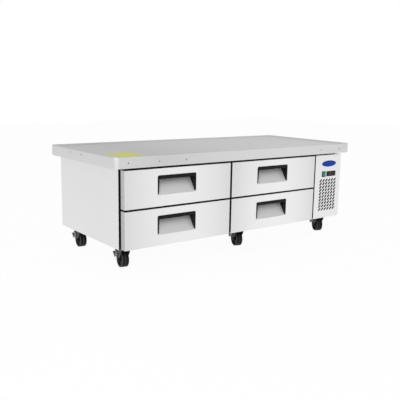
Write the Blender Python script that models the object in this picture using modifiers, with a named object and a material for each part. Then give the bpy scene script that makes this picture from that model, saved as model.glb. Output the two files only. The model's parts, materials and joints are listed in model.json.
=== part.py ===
"""Refrigerated chef base: a low counter with four drawers under a heavy worktop, on six casters.

Its length runs along X, its front faces -Y and it stands on Z = 0, with the origin on the floor
under the middle of the worktop. All lengths are metres. The driving sizes come first, then what
follows from them, then one short function for each sub-assembly.
"""
import math
from collections import namedtuple

import bmesh
import bpy
from mathutils import Matrix, Vector

# Fits and the overrun of every cut
GAP = 0.0003
OVERRUN = 0.012
WELD = 0.00001

# Worktop
WORKTOP_LENGTH = 1.930
WORKTOP_DEPTH = 0.838
WORKTOP_TOP = 0.676
WORKTOP_EDGE = 0.066
WORKTOP_CORNER = 0.028
WORKTOP_SHEET = 0.002
RIM_ROUND = 0.003
RIM_CREST = 0.006
RIM_SLOPE = 0.014
RIM_RISE = 0.008
EDGE_RETURN = 0.080

# Cabinet
SIDE_OVERHANG = 0.0645
REAR_SETBACK = 0.005
FRONT_SETBACK = 0.0167
CABINET_FLOOR = 0.140
PANEL_SHEET = 0.0015
BASE_SHEET = 0.002
LINER_SHEET = 0.0015
WALL = 0.044
FACE_FRAME_DEPTH = 0.030
VENT_LENGTH = 0.150
VENT_HEIGHT = 0.008
VENT_PITCH = 0.024
VENT_COUNT = 8
VENT_FLOOR = 0.190
GLAND_RADIUS = 0.012
GLAND_PROUD = 0.004
GLAND_DEPTH = 0.006
GLAND_RISE = 0.026
GLAND_INSET = 0.045
CORD_HOLE_RADIUS = 0.0045

# Drawer fronts and gaskets
FRONT_SIDE_INSET = 0.008
FRONT_FLOOR = 0.146
FRONT_SEAM = 0.010
FRONT_THICKNESS = 0.045
UPPER_FRONT_TALLER = 0.002
FRONT_BEND = 0.004
FRONT_SHEET = 0.0012
FILL_HOLE_RADIUS = 0.006
FILL_HOLE_INSET = 0.050
OPENING_MARGIN = 0.038
PLUG_DEPTH = 0.018
PLUG_CLEARANCE = 0.004
GASKET_THICKNESS = 0.014
GASKET_WIDTH = 0.030
GASKET_INSET = 0.004

# Pull pockets
PULL_WIDTH = 0.272
PULL_HEIGHT = 0.114
PULL_DROP = 0.043
PULL_OFFSET = 0.027
PULL_DEPTH = 0.056
PULL_BACK_HEIGHT = 0.022
PULL_CORNER = 0.010
PULL_CHEEK = 0.013
PULL_LIP = 0.0225
PULL_LIP_THICKNESS = 0.006
PULL_ROOF = 0.003

# Drawer trays and the tracks that carry them
TRAY_REAR_SPACE = 0.0941
TRAY_HEADROOM = 0.012
TRAY_SHEET = 0.002
TRAY_LEDGE = 0.012
RUNNER_WIDTH = 0.009
RUNNER_HEIGHT = 0.018
TRACK_SHEET = 0.002
TRACK_LIP = 0.008
TRACK_SIDE_PLAY = 0.001
TRACK_HEADROOM = 0.0015
TRACK_MARGIN = 0.016
TRACK_POST = 0.030
JOINT_OVERLAP = 0.0008

# Machine compartment
MACHINE_PANEL_WIDTH = 0.2655
GRILLE_LANDING = 0.010
SLOT_COLUMNS = 6
SLOT_LENGTH = 0.029
SLOT_WIDTH = 0.0120
SLOT_TILT = math.radians(41)
SLOT_PITCH_X = 0.0295
SLOT_PITCH_Z = 0.0231
SLOT_FIELD_RISE = 0.0641
SLOT_FIELD_HEADROOM = 0.020
SLOT_FIELD_SHIFT = 0.002

# Controls
CONTROL_DROP = 0.136
CONTROL_BOX_DEPTH = 0.050
CONTROL_PROUD = 0.004
CONTROL_SHIFT = 0.008
DISPLAY_WIDTH = 0.090
DISPLAY_HEIGHT = 0.036
SWITCH_FRAME_WIDTH = 0.034
SWITCH_FRAME_HEIGHT = 0.040
CONTROL_SPACING = 0.014
SWITCH_FRAME_WALL = 0.003
CONTROL_BOX_MARGIN = 0.005
SWITCH_SOCKET_DEPTH = 0.022
ROCKER_SHORTER = 0.002
ROCKER_DEPTH = 0.012
ROCKER_PROUD = 0.0025
ROCKER_DISH = 0.0018
ROCKER_TILT = math.radians(-8)

# Condenser and compressor
CONDENSER_WIDTH = 0.215
CONDENSER_HEIGHT = 0.250
CONDENSER_THICKNESS = 0.050
CONDENSER_SETBACK = 0.045
SHROUD_DEPTH = 0.036
FIN_COUNT = 9
FIN_GROOVE = 0.009
FIN_GROOVE_DEPTH = 0.010
CONDENSER_FAN_RADIUS = 0.086
FAN_TIP_CLEARANCE = 0.005
FAN_HUB_RADIUS = 0.022
FAN_HUB_LENGTH = 0.018
FAN_BLADES = 5
FAN_BLADE_WIDTH = 0.034
FAN_BLADE_SHEET = 0.002
FAN_BLADE_PITCH = math.radians(28)
SHAFT_RADIUS = 0.004
SHAFT_CLEARANCE = 0.0005
MOTOR_RADIUS = 0.034
MOTOR_LENGTH = 0.055
SPIDER_WIDTH = 0.012
SPIDER_THICKNESS = 0.006
COMPRESSOR_RADIUS = 0.082
COMPRESSOR_HEIGHT = 0.175
COMPRESSOR_FOOT = 0.185
COMPRESSOR_FOOT_HEIGHT = 0.010
COMPRESSOR_SETBACK = 0.150
COMPRESSOR_STUB_RADIUS = 0.008
COMPRESSOR_STUB_LENGTH = 0.040

# Evaporator
EVAPORATOR_WIDTH = 0.420
EVAPORATOR_HEIGHT = 0.220
EVAPORATOR_THICKNESS = 0.066
EVAPORATOR_FAN_RADIUS = 0.068
EVAPORATOR_RECESS = 0.052

# Casters
WHEEL_RADIUS = 0.050
WHEEL_WIDTH = 0.044
WHEEL_STEPS = 24
TRAIL = 0.035
AXLE_RADIUS = 0.005
AXLE_CLEARANCE = 0.0004
AXLE_NUT_RADIUS = 0.009
AXLE_NUT_LENGTH = 0.004
CASTER_PLATE_LENGTH = 0.095
CASTER_PLATE_WIDTH = 0.068
CASTER_PLATE_SHEET = 0.003
CASTER_BOLT_RADIUS = 0.0045
CASTER_BOLT_INSET = 0.012
RACEWAY_RADIUS = 0.029
RACEWAY_HEIGHT = 0.007
CROWN_RADIUS = 0.031
CROWN_THICKNESS = 0.005
CROWN_STEP = 0.0015
CROWN_FRONT = 0.029
CROWN_REAR = 0.042
FORK_SHEET = 0.003
FORK_SIDE_CLEARANCE = 0.0025
BRAKE_SHEET = 0.002
BRAKE_SIDE_CLEARANCE = 0.0004
BRAKE_PIN_RADIUS = 0.003
BRAKE_PIN_CLEARANCE = 0.0004
BRAKE_TOE_SHEET = 0.003
CASTER_FRONT_SETBACK = 0.125
CASTER_REAR_SETBACK = 0.124
CASTER_LEFT_INSET = 0.086
CASTER_RIGHT_INSET = 0.0365
CASTER_MIDDLE = 0.064

# Facets of round pieces
ROD_SIDES = 12
RING_SIDES = 24

# Share of the lower opening's height that a tray takes
TRAY_HEIGHT_SHARE = 0.597

# Share of the free height on the rear wall that lies below the evaporator
EVAPORATOR_LIFT_SHARE = 0.65

# Shapes given as shares of the wheel's radius, measured from its centre: rearwards and upwards
FORK_LEG_SHARES = ((0.34, 0.95), (0.58, 0.74), (0.54, 0.44), (0.26, 0.0), (0.18, -0.18),
                   (0.0, -0.26), (-0.18, -0.18), (-0.30, 0.10))
BRAKE_ARM_SHARES = ((0.16, 0.40), (0.22, 0.80), (0.60, 0.86), (0.96, 1.02), (1.00, 0.92),
                    (0.80, 0.50), (1.14, 0.32), (1.69, 0.60), (1.75, 0.52), (1.18, -0.04))
BRAKE_PIN_SHARES = (0.38, 0.60)
BRAKE_TOE_SHARES = ((1.20, 0.06), (1.73, 0.53))
BRAKE_TAB_SHARES = ((0.64, 0.84), (0.98, 0.97))
WHEEL_SHARES = ((0.26, 0.97), (0.32, 0.60), (0.70, 0.60), (0.78, 0.94), (0.94, 1.0), (1.0, 0.80))
DOME_SHARES = ((0.0, 1.0), (0.45, 0.97), (0.80, 0.86), (0.97, 0.66), (1.0, 0.45), (1.0, 0.10),
               (0.90, 0.0), (0.0, 0.0))

# What follows from the driving sizes
CABINET_LEFT = SIDE_OVERHANG - WORKTOP_LENGTH / 2
CABINET_RIGHT = -CABINET_LEFT
CABINET_REAR = WORKTOP_DEPTH / 2 - REAR_SETBACK
FRONT_PLANE = FRONT_SETBACK - WORKTOP_DEPTH / 2
WORKTOP_UNDERSIDE = WORKTOP_TOP - WORKTOP_EDGE
WORK_SURFACE = WORKTOP_TOP - RIM_RISE
CABINET_TOP = WORKTOP_UNDERSIDE - GAP
FACE_PLANE = FRONT_PLANE + FRONT_THICKNESS + GASKET_THICKNESS + 2 * GAP
PANELS_LEFT = CABINET_LEFT + PANEL_SHEET + GAP
PANELS_RIGHT = CABINET_RIGHT - PANEL_SHEET - GAP
PANELS_REAR = CABINET_REAR - PANEL_SHEET - GAP
BASE_TOP = CABINET_FLOOR + BASE_SHEET
GRILLE_LEFT = CABINET_RIGHT - MACHINE_PANEL_WIDTH
PARTITION_RIGHT = GRILLE_LEFT + GRILLE_LANDING
FRONTS_LEFT = CABINET_LEFT + FRONT_SIDE_INSET
FRONT_WIDTH = (GRILLE_LEFT - FRONTS_LEFT) / 2 - FRONT_SEAM
FRONTS_TOP = WORKTOP_UNDERSIDE - FRONT_SEAM
LOWER_FRONT_HEIGHT = (FRONTS_TOP - FRONT_FLOOR - FRONT_SEAM - UPPER_FRONT_TALLER) / 2
UPPER_FRONT_FLOOR = FRONT_FLOOR + LOWER_FRONT_HEIGHT + FRONT_SEAM
FRAME_REAR = FACE_PLANE + FACE_FRAME_DEPTH
COLD_REAR = PANELS_REAR - WALL - GAP - LINER_SHEET
COLD_FLOOR = FRONT_FLOOR + OPENING_MARGIN
COLD_TOP = FRONTS_TOP - OPENING_MARGIN
COLD_LEFT = FRONTS_LEFT + OPENING_MARGIN
COLD_RIGHT = GRILLE_LEFT - FRONT_SEAM - OPENING_MARGIN
TRAY_FRONT = FRONT_PLANE + FRONT_THICKNESS + PLUG_DEPTH + GAP
EVAPORATOR_FACE = COLD_REAR - GAP - EVAPORATOR_THICKNESS
TRAY_REAR = EVAPORATOR_FACE - TRAY_REAR_SPACE
TRAY_HEIGHT = TRAY_HEIGHT_SHARE * (LOWER_FRONT_HEIGHT - 2 * OPENING_MARGIN)
TRAY_SIDE_INSET = GAP + TRACK_SHEET + TRACK_SIDE_PLAY + RUNNER_WIDTH
CONTROL_LEVEL = FRONTS_TOP - CONTROL_DROP
SLOT_FIELD_FLOOR = FRONT_FLOOR + SLOT_FIELD_RISE
SLOT_FIELD_TOP = CONTROL_LEVEL - SWITCH_FRAME_HEIGHT / 2 - SLOT_FIELD_HEADROOM
SLOT_ROWS = 1 + int((SLOT_FIELD_TOP - SLOT_FIELD_FLOOR) / SLOT_PITCH_Z)
SWIVEL_TOP = CABINET_FLOOR - GAP - CASTER_PLATE_SHEET - RACEWAY_HEIGHT - GAP
CROWN_TOP = SWIVEL_TOP - CROWN_STEP
LEG_INNER = WHEEL_WIDTH / 2 + FORK_SIDE_CLEARANCE
LEG_OUTER = LEG_INNER + FORK_SHEET
ARM_INNER = LEG_OUTER + BRAKE_SIDE_CLEARANCE
ARM_OUTER = ARM_INNER + BRAKE_SHEET

Front = namedtuple("Front", "name left right floor top")
Caster = namedtuple("Caster", "name x y swivel")

FRONTS = [
    Front(f"drawer_{level}_{side}", left, left + FRONT_WIDTH, floor, top)
    for level, floor, top in (("lower", FRONT_FLOOR, FRONT_FLOOR + LOWER_FRONT_HEIGHT),
                              ("upper", UPPER_FRONT_FLOOR, FRONTS_TOP))
    for side, left in (("left", FRONTS_LEFT), ("right", FRONTS_LEFT + FRONT_WIDTH + FRONT_SEAM))
]
CASTERS = [
    Caster(f"caster_{row}_{side}", x, y, math.radians(turn))
    for row, y, turns in (("front", FACE_PLANE - FRONT_THICKNESS + CASTER_FRONT_SETBACK, (8, 16, 23)),
                          ("rear", CABINET_REAR - CASTER_REAR_SETBACK, (4, 12, 9)))
    for side, x, turn in (("left", CABINET_LEFT + CASTER_LEFT_INSET, turns[0]),
                          ("middle", CASTER_MIDDLE, turns[1]),
                          ("right", CABINET_RIGHT - CASTER_RIGHT_INSET, turns[2]))
]

# Finishes: colour, roughness, metallic
FINISHES = {
    "stainless": ((0.72, 0.72, 0.72), 0.35, 0.9),
    "galvanised": ((0.55, 0.56, 0.57), 0.5, 0.8),
    "foam": ((0.80, 0.72, 0.50), 0.9, 0.0),
    "aluminium": ((0.78, 0.79, 0.80), 0.4, 0.9),
    "black_plastic": ((0.02, 0.02, 0.02), 0.45, 0.0),
    "gasket_rubber": ((0.015, 0.015, 0.015), 0.7, 0.0),
    "tread_rubber": ((0.025, 0.025, 0.025), 0.6, 0.0),
    "zinc": ((0.50, 0.51, 0.52), 0.4, 0.9),
    "caster_paint": ((0.02, 0.02, 0.022), 0.4, 0.2),
    "compressor_paint": ((0.02, 0.02, 0.022), 0.35, 0.2),
    "switch_green": ((0.0, 0.30, 0.16), 0.3, 0.0),
}


def clear_scene():
    """Remove every object of the start-up scene."""
    for thing in list(bpy.data.objects):
        bpy.data.objects.remove(thing, do_unlink=True)


def make_finish(name):
    """Principled material of a named finish."""
    colour, roughness, metallic = FINISHES[name]
    finish = bpy.data.materials.get(name) or bpy.data.materials.new(name)
    finish.use_nodes = True
    finish.diffuse_color = (*colour, 1.0)
    shader = finish.node_tree.nodes["Principled BSDF"]
    shader.inputs["Base Color"].default_value = (*colour, 1.0)
    shader.inputs["Roughness"].default_value = roughness
    shader.inputs["Metallic"].default_value = metallic
    return finish


def add_piece(name, mesh, finish, parent=None, matrix=None):
    """Put a finished mesh in the scene as one named piece."""
    piece_mesh = mesh.copy()
    piece_mesh.materials.clear()
    piece_mesh.materials.append(make_finish(finish))
    piece = bpy.data.objects.new(name, piece_mesh)
    PIECES.objects.link(piece)
    piece.parent = parent
    piece.matrix_local = matrix or Matrix.Identity(4)
    return piece


def add_pivot(name, matrix, parent=None):
    """Empty that carries the pieces of one moving body, on its joint's axis."""
    pivot = bpy.data.objects.new(name, None)
    PIECES.objects.link(pivot)
    pivot.parent = parent
    pivot.matrix_local = matrix
    return pivot


def mesh_from(bm):
    """New mesh from a bmesh, which is freed."""
    mesh = bpy.data.meshes.new("shape")
    bm.to_mesh(mesh)
    bm.free()
    return mesh


def evaluated(thing):
    """Mesh of an object with its modifiers applied; the object is removed."""
    bpy.context.view_layer.update()
    graph = bpy.context.evaluated_depsgraph_get()
    mesh = bpy.data.meshes.new_from_object(thing.evaluated_get(graph), depsgraph=graph)
    bpy.data.objects.remove(thing, do_unlink=True)
    return mesh


def scratch(data):
    """Object that only lives while a shape is worked out."""
    thing = bpy.data.objects.new("scratch", data)
    bpy.context.scene.collection.objects.link(thing)
    return thing


def carved(body, joins=(), cuts=()):
    """Mesh of a body after other meshes are joined to it and then cut from it."""
    target = scratch(body)
    tools = []
    for operation, meshes in (("UNION", joins), ("DIFFERENCE", cuts)):
        for mesh in meshes:
            tools.append(scratch(mesh))
            modifier = target.modifiers.new(operation, "BOOLEAN")
            modifier.operation = operation
            modifier.solver = "EXACT"
            modifier.object = tools[-1]
    result = evaluated(target)
    for tool in tools:
        bpy.data.objects.remove(tool, do_unlink=True)
    return result


def placement(low, high):
    """Matrix that turns the unit cube into the box between two corners."""
    low, high = Vector(low), Vector(high)
    return Matrix.Translation((low + high) / 2) @ Matrix.Diagonal((*(high - low), 1))


def boxes(*corners):
    """One mesh of separate boxes, each given as its low and high corner."""
    bm = bmesh.new()
    for low, high in corners:
        bmesh.ops.create_cube(bm, size=1, matrix=placement(low, high))
    return mesh_from(bm)


def rod(radius, start, end, sides=ROD_SIDES):
    """Round bar between two points."""
    start, end = Vector(start), Vector(end)
    along = end - start
    turn = along.to_track_quat("Z", "Y").to_matrix().to_4x4()
    bm = bmesh.new()
    bmesh.ops.create_cone(bm, cap_ends=True, segments=sides, radius1=radius, radius2=radius,
                          depth=along.length, matrix=Matrix.Translation((start + end) / 2) @ turn)
    return mesh_from(bm)


def turned(profile, steps, closed=True):
    """Solid of revolution about Z from points (radius, height), outer side from top to bottom."""
    mesh = bpy.data.meshes.new("profile")
    count = len(profile)
    edges = [(i, (i + 1) % count) for i in range(count if closed else count - 1)]
    mesh.from_pydata([(radius, 0, height) for radius, height in profile], edges, [])
    thing = scratch(mesh)
    screw = thing.modifiers.new("turn", "SCREW")
    screw.steps = steps
    screw.render_steps = steps
    screw.use_merge_vertices = True
    screw.merge_threshold = WELD
    return evaluated(thing)


def plate(outline, low, high):
    """Flat outline in (Y, Z) with its thickness along X from low to high."""
    curve = bpy.data.curves.new("outline", "CURVE")
    curve.dimensions = "2D"
    curve.fill_mode = "BOTH"
    curve.extrude = (high - low) / 2
    spline = curve.splines.new("POLY")
    spline.points.add(len(outline) - 1)
    for point, (y, z) in zip(spline.points, outline):
        point.co = (y, z, 0, 1)
    spline.use_cyclic_u = True
    mesh = evaluated(scratch(curve))
    axes = Matrix(((0, 0, 1, (low + high) / 2), (1, 0, 0, 0), (0, 1, 0, 0), (0, 0, 0, 1)))
    mesh.transform(axes)
    return welded(mesh)


def welded(mesh):
    """The same mesh with its loose caps joined and its faces pointing out."""
    bm = bmesh.new()
    bm.from_mesh(mesh)
    bmesh.ops.remove_doubles(bm, verts=bm.verts, dist=WELD)
    bmesh.ops.recalc_face_normals(bm, faces=bm.faces)
    return mesh_from(bm)


def eased(mesh, width, steps, wanted):
    """Mesh with the edges that a test picks rounded to a width."""
    bm = bmesh.new()
    bm.from_mesh(mesh)
    picked = [edge for edge in bm.edges if wanted(edge)]
    bmesh.ops.bevel(bm, geom=picked, offset=width, offset_type="OFFSET", segments=steps,
                    profile=0.5, affect="EDGES", clamp_overlap=True)
    return mesh_from(bm)


def runs_along(edge, axis):
    """Whether an edge lies along one of the three axes, given as 0, 1 or 2."""
    span = edge.verts[1].co - edge.verts[0].co
    return abs(span[axis]) > span.length * math.cos(math.radians(1))


def rounded_slab(low, high, radius):
    """Box with its four upright edges rounded in plan."""
    return eased(boxes((low, high)), radius, 5, lambda edge: runs_along(edge, 2))


def thickened(bm, sheet):
    """Open skin given a wall on its inner side."""
    skin = scratch(mesh_from(bm))
    wall = skin.modifiers.new("wall", "SOLIDIFY")
    wall.thickness = sheet
    wall.offset = -1
    wall.use_even_offset = True
    return evaluated(skin)


def worktop_shape():
    """Skin of the worktop: drip rim, sunk work surface, turned-down edges and a return below."""
    half_length, half_depth = WORKTOP_LENGTH / 2, WORKTOP_DEPTH / 2
    low = (-half_length, -half_depth, WORKTOP_UNDERSIDE)
    slab = rounded_slab(low, (half_length, half_depth, WORKTOP_TOP), WORKTOP_CORNER)
    bm = bmesh.new()
    bm.from_mesh(slab)
    surface = max(bm.faces, key=lambda face: face.calc_center_median().z)
    bmesh.ops.inset_region(bm, faces=[surface], thickness=RIM_CREST, use_even_offset=True)
    bmesh.ops.inset_region(bm, faces=[surface], thickness=RIM_SLOPE, use_even_offset=True)
    for vertex in surface.verts:
        vertex.co.z = WORK_SURFACE
    below = min(bm.faces, key=lambda face: face.calc_center_median().z)
    bmesh.ops.delete(bm, geom=[below], context="FACES")
    crest = [edge for edge in bm.edges if is_outer_crest(edge)]
    bmesh.ops.bevel(bm, geom=crest, offset=RIM_ROUND, segments=2, profile=0.5, affect="EDGES")
    return carved(thickened(bm, WORKTOP_SHEET), joins=[edge_return_shape()])


def is_outer_crest(edge):
    """Whether an edge runs along the outer top corner of the worktop."""
    level = all(abs(vertex.co.z - WORKTOP_TOP) < WELD for vertex in edge.verts)
    upright = any(abs(face.normal.z) < 0.5 for face in edge.link_faces)
    return level and upright


def edge_return_shape():
    """Flange turned in under the worktop, which rests on the cabinet."""
    inset = WORKTOP_SHEET / 2
    half_length, half_depth = WORKTOP_LENGTH / 2 - inset, WORKTOP_DEPTH / 2 - inset
    top = WORKTOP_UNDERSIDE + WORKTOP_SHEET
    flange = rounded_slab((-half_length, -half_depth, WORKTOP_UNDERSIDE),
                          (half_length, half_depth, top), WORKTOP_CORNER - inset)
    open_length, open_depth = WORKTOP_LENGTH / 2 - EDGE_RETURN, WORKTOP_DEPTH / 2 - EDGE_RETURN
    middle = boxes(((-open_length, -open_depth, WORKTOP_UNDERSIDE - OVERRUN),
                    (open_length, open_depth, top + OVERRUN)))
    return carved(flange, cuts=[middle])


def make_worktop():
    """Worktop skin and the foam core that fills it."""
    add_piece("worktop", worktop_shape(), "stainless")
    inset = WORKTOP_SHEET + GAP
    half_length, half_depth = WORKTOP_LENGTH / 2 - inset, WORKTOP_DEPTH / 2 - inset
    core = rounded_slab((-half_length, -half_depth, WORKTOP_UNDERSIDE + inset),
                        (half_length, half_depth, WORK_SURFACE - inset), WORKTOP_CORNER - inset)
    add_piece("worktop_core", core, "foam")


def vent_cuts(low, high, axis):
    """Row of long vent holes through a panel; axis is the one that their length runs along."""
    shapes = []
    for row in range(VENT_COUNT):
        floor = VENT_FLOOR + row * VENT_PITCH
        start, end = list(low), list(high)
        middle = (low[axis] + high[axis]) / 2
        start[axis], end[axis] = middle - VENT_LENGTH / 2, middle + VENT_LENGTH / 2
        start[2], end[2] = floor, floor + VENT_HEIGHT
        shapes.append((start, end))
    return boxes(*shapes)


def cord_gland():
    """Round gland that the supply cord leaves by, low in the back panel, and the hole through it."""
    x, z = PANELS_RIGHT - GLAND_INSET, CABINET_FLOOR + GLAND_RISE
    inner, outer = CABINET_REAR - PANEL_SHEET - GLAND_DEPTH, CABINET_REAR + GLAND_PROUD
    body = rod(GLAND_RADIUS, (x, inner, z), (x, outer, z), RING_SIDES)
    return body, rod(CORD_HOLE_RADIUS, (x, inner - OVERRUN, z), (x, outer + OVERRUN, z))


def make_outer_panels():
    """End panels, back panel and base pan."""
    left = ((CABINET_LEFT, FACE_PLANE, CABINET_FLOOR),
            (CABINET_LEFT + PANEL_SHEET, CABINET_REAR, CABINET_TOP))
    add_piece("left_end_panel", boxes(left), "stainless")
    right = ((CABINET_RIGHT - PANEL_SHEET, FACE_PLANE, CABINET_FLOOR),
             (CABINET_RIGHT, CABINET_REAR, CABINET_TOP))
    side_vents = vent_cuts((CABINET_RIGHT - OVERRUN, FACE_PLANE, 0),
                           (CABINET_RIGHT + OVERRUN, CABINET_REAR, 0), 1)
    add_piece("right_end_panel", carved(boxes(right), cuts=[side_vents]), "stainless")
    back = ((PANELS_LEFT, CABINET_REAR - PANEL_SHEET, CABINET_FLOOR),
            (PANELS_RIGHT, CABINET_REAR, CABINET_TOP))
    rear_vents = vent_cuts((PARTITION_RIGHT, CABINET_REAR - OVERRUN, 0),
                           (PANELS_RIGHT, CABINET_REAR + OVERRUN, 0), 0)
    gland, cord_hole = cord_gland()
    add_piece("back_panel", carved(boxes(back), [gland], [rear_vents, cord_hole]), "galvanised")
    base = ((PANELS_LEFT, FACE_PLANE, CABINET_FLOOR), (PANELS_RIGHT, PANELS_REAR, BASE_TOP))
    add_piece("base_pan", boxes(base), "galvanised")


def opening(front):
    """Left, right, floor and top of the face frame's opening behind a drawer front."""
    return (front.left + OPENING_MARGIN, front.right - OPENING_MARGIN,
            front.floor + OPENING_MARGIN, front.top - OPENING_MARGIN)


def make_cold_box():
    """Face frame, foam insulation and inner liner of the refrigerated space."""
    frame = ((PANELS_LEFT, FACE_PLANE, BASE_TOP + GAP), (PARTITION_RIGHT, FRAME_REAR, CABINET_TOP))
    holes = []
    for front in FRONTS:
        left, right, floor, top = opening(front)
        holes.append(((left, FACE_PLANE - OVERRUN, floor), (right, FRAME_REAR + OVERRUN, top)))
    add_piece("face_frame", carved(boxes(frame), cuts=[boxes(*holes)]), "black_plastic")
    liner_front = FRAME_REAR + GAP
    skin = ((COLD_LEFT - LINER_SHEET, liner_front, COLD_FLOOR - LINER_SHEET),
            (COLD_RIGHT + LINER_SHEET, COLD_REAR + LINER_SHEET, COLD_TOP + LINER_SHEET))
    inside = ((COLD_LEFT, liner_front - OVERRUN, COLD_FLOOR), (COLD_RIGHT, COLD_REAR, COLD_TOP))
    add_piece("inner_liner", carved(boxes(skin), cuts=[boxes(inside)]), "aluminium")
    outset = LINER_SHEET + GAP
    foam = ((PANELS_LEFT, liner_front, BASE_TOP + GAP), (PARTITION_RIGHT, PANELS_REAR, CABINET_TOP))
    room = ((COLD_LEFT - outset, liner_front - OVERRUN, COLD_FLOOR - outset),
            (COLD_RIGHT + outset, COLD_REAR + outset, COLD_TOP + outset))
    add_piece("insulation", carved(boxes(foam), cuts=[boxes(room)]), "foam")


def runner_floor(front):
    """Height of the underside of a tray's runners."""
    return opening(front)[3] - TRAY_HEADROOM - TRAY_HEIGHT / 2 - RUNNER_HEIGHT / 2


def track_plate(wall, inward, fronts):
    """Punched side plate with a channel for each drawer, and the mesh of its channels' lips.

    wall is the X of the surface that the plate is fixed to and inward is +1 or -1, away from it.
    """
    back = wall + inward * GAP
    face = back + inward * TRACK_SHEET
    lip_end = face + inward * TRACK_LIP
    lip_root = face - inward * JOINT_OVERLAP
    start, end = FRAME_REAR + 2 * GAP, TRAY_REAR
    levels = [runner_floor(front) - GAP for front in fronts]
    room = RUNNER_HEIGHT + GAP + TRACK_HEADROOM
    low, high = sorted((back, face))
    body = boxes(((low, start, min(levels) - TRACK_SHEET - TRACK_MARGIN),
                  (high, end, max(levels) + room + TRACK_SHEET + TRACK_MARGIN)))
    window = ((low - OVERRUN, start + TRACK_POST, min(levels) + room + TRACK_SHEET + TRACK_MARGIN),
              (high + OVERRUN, end - TRACK_POST, max(levels) - TRACK_SHEET - TRACK_MARGIN))
    lips = []
    low, high = sorted((lip_root, lip_end))
    for level in levels:
        for floor in (level - TRACK_SHEET, level + room):
            lips.append(((low, start, floor), (high, end, floor + TRACK_SHEET)))
    return body, boxes(*lips), boxes(window)


def make_tracks():
    """Channels that carry the drawers: on both side walls and on a ladder between the banks."""
    left_bank = [front for front in FRONTS if front.left == FRONTS_LEFT]
    right_bank = [front for front in FRONTS if front.left > FRONTS_LEFT]
    body, lips, window = track_plate(COLD_LEFT, 1, left_bank)
    add_piece("left_tracks", carved(body, [lips], [window]), "galvanised")
    body, lips, window = track_plate(COLD_RIGHT, -1, right_bank)
    add_piece("right_tracks", carved(body, [lips], [window]), "galvanised")
    ladder_left, ladder_right = opening(left_bank[0])[1], opening(right_bank[0])[0]
    near, near_lips, near_window = track_plate(ladder_left, -1, left_bank)
    far, far_lips, far_window = track_plate(ladder_right, 1, right_bank)
    post_left, post_right = ladder_left - GAP - JOINT_OVERLAP, ladder_right + GAP + JOINT_OVERLAP
    posts = []
    for start in (FRAME_REAR + 3 * GAP, TRAY_REAR - TRACK_POST - GAP):
        posts.append(((post_left, start, COLD_FLOOR + GAP),
                      (post_right, start + TRACK_POST, COLD_TOP - GAP)))
    plain = carved(near, [near_lips], [near_window])
    ladder = carved(plain, [boxes(*posts), carved(far, [far_lips], [far_window])])
    add_piece("centre_tracks", ladder, "galvanised")


def pull_middle(front):
    """Middle of a pull, which sits left of its front's middle."""
    return (front.left + front.right) / 2 - PULL_OFFSET


def pull_prism(front, mouth, shrink):
    """Block with a sloping back that fills a pull pocket from its mouth, smaller by shrink."""
    middle = pull_middle(front)
    top = front.top - PULL_DROP - shrink
    shoulder = front.top - PULL_DROP - PULL_BACK_HEIGHT
    slope = (PULL_HEIGHT - PULL_BACK_HEIGHT) / PULL_DEPTH
    rear = FRONT_PLANE + PULL_DEPTH - 2 * shrink
    floor = shoulder - (rear - mouth) * slope
    half = PULL_WIDTH / 2 - shrink
    block = plate([(mouth, top), (rear, top), (rear, shoulder), (mouth, floor)],
                  middle - half, middle + half)
    return eased(block, PULL_CORNER - shrink, 3,
                 lambda edge: runs_along(edge, 1) and edge.verts[0].co.z > shoulder)


def front_blocks(front, inset):
    """Slab of a drawer front and the plug behind it, each drawn in by an inset."""
    rear = FRONT_PLANE + FRONT_THICKNESS
    left, right, floor, top = opening(front)
    clearance = PLUG_CLEARANCE + inset
    slab = boxes(((front.left + inset, FRONT_PLANE + inset, front.floor + inset),
                  (front.right - inset, rear - inset, front.top - inset)))
    plug = boxes(((left + clearance, rear - inset - JOINT_OVERLAP, floor + clearance),
                  (right - clearance, rear + PLUG_DEPTH - inset, top - clearance)))
    return slab, plug


def foam_space(front):
    """Hollow of a drawer front round the pull's recess, with the hole that its foam goes in by."""
    slab, plug = front_blocks(front, FRONT_SHEET)
    pocket = pull_prism(front, FRONT_PLANE - OVERRUN, -FRONT_SHEET)
    x, z = opening(front)[0] + FILL_HOLE_INSET, (front.floor + front.top) / 2
    rear = FRONT_PLANE + FRONT_THICKNESS + PLUG_DEPTH
    hole = rod(FILL_HOLE_RADIUS, (x, rear - PLUG_DEPTH / 2, z), (x, rear + OVERRUN, z))
    return carved(carved(slab, [plug], [pocket]), [hole])


def front_shape(front):
    """Drawer front folded from sheet: slab, plug behind it, and the pull pocket's recess."""
    slab, plug = front_blocks(front, 0)
    rounded = eased(slab, FRONT_BEND, 2,
                    lambda edge: max(v.co.y for v in edge.verts) < FRONT_PLANE + WELD)
    recess = pull_prism(front, FRONT_PLANE - OVERRUN, 0)
    return carved(rounded, [plug], [recess, foam_space(front)])


def pull_shape(front):
    """Moulded pull: hollow top lip and two triangular cheeks that line the recess."""
    middle = pull_middle(front)
    half = PULL_WIDTH / 2 - PULL_CHEEK
    top = front.top - PULL_DROP
    mouth = ((middle - half, FRONT_PLANE - OVERRUN, top - PULL_HEIGHT - OVERRUN),
             (middle + half, FRONT_PLANE + PULL_DEPTH + OVERRUN, top - PULL_LIP))
    hollow = ((middle - half, FRONT_PLANE + PULL_LIP_THICKNESS, top - PULL_LIP - OVERRUN),
              (middle + half, FRONT_PLANE + PULL_DEPTH - PULL_LIP_THICKNESS, top - PULL_ROOF))
    body = pull_prism(front, FRONT_PLANE + GAP, GAP)
    return carved(body, cuts=[boxes(mouth), boxes(hollow)])


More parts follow.
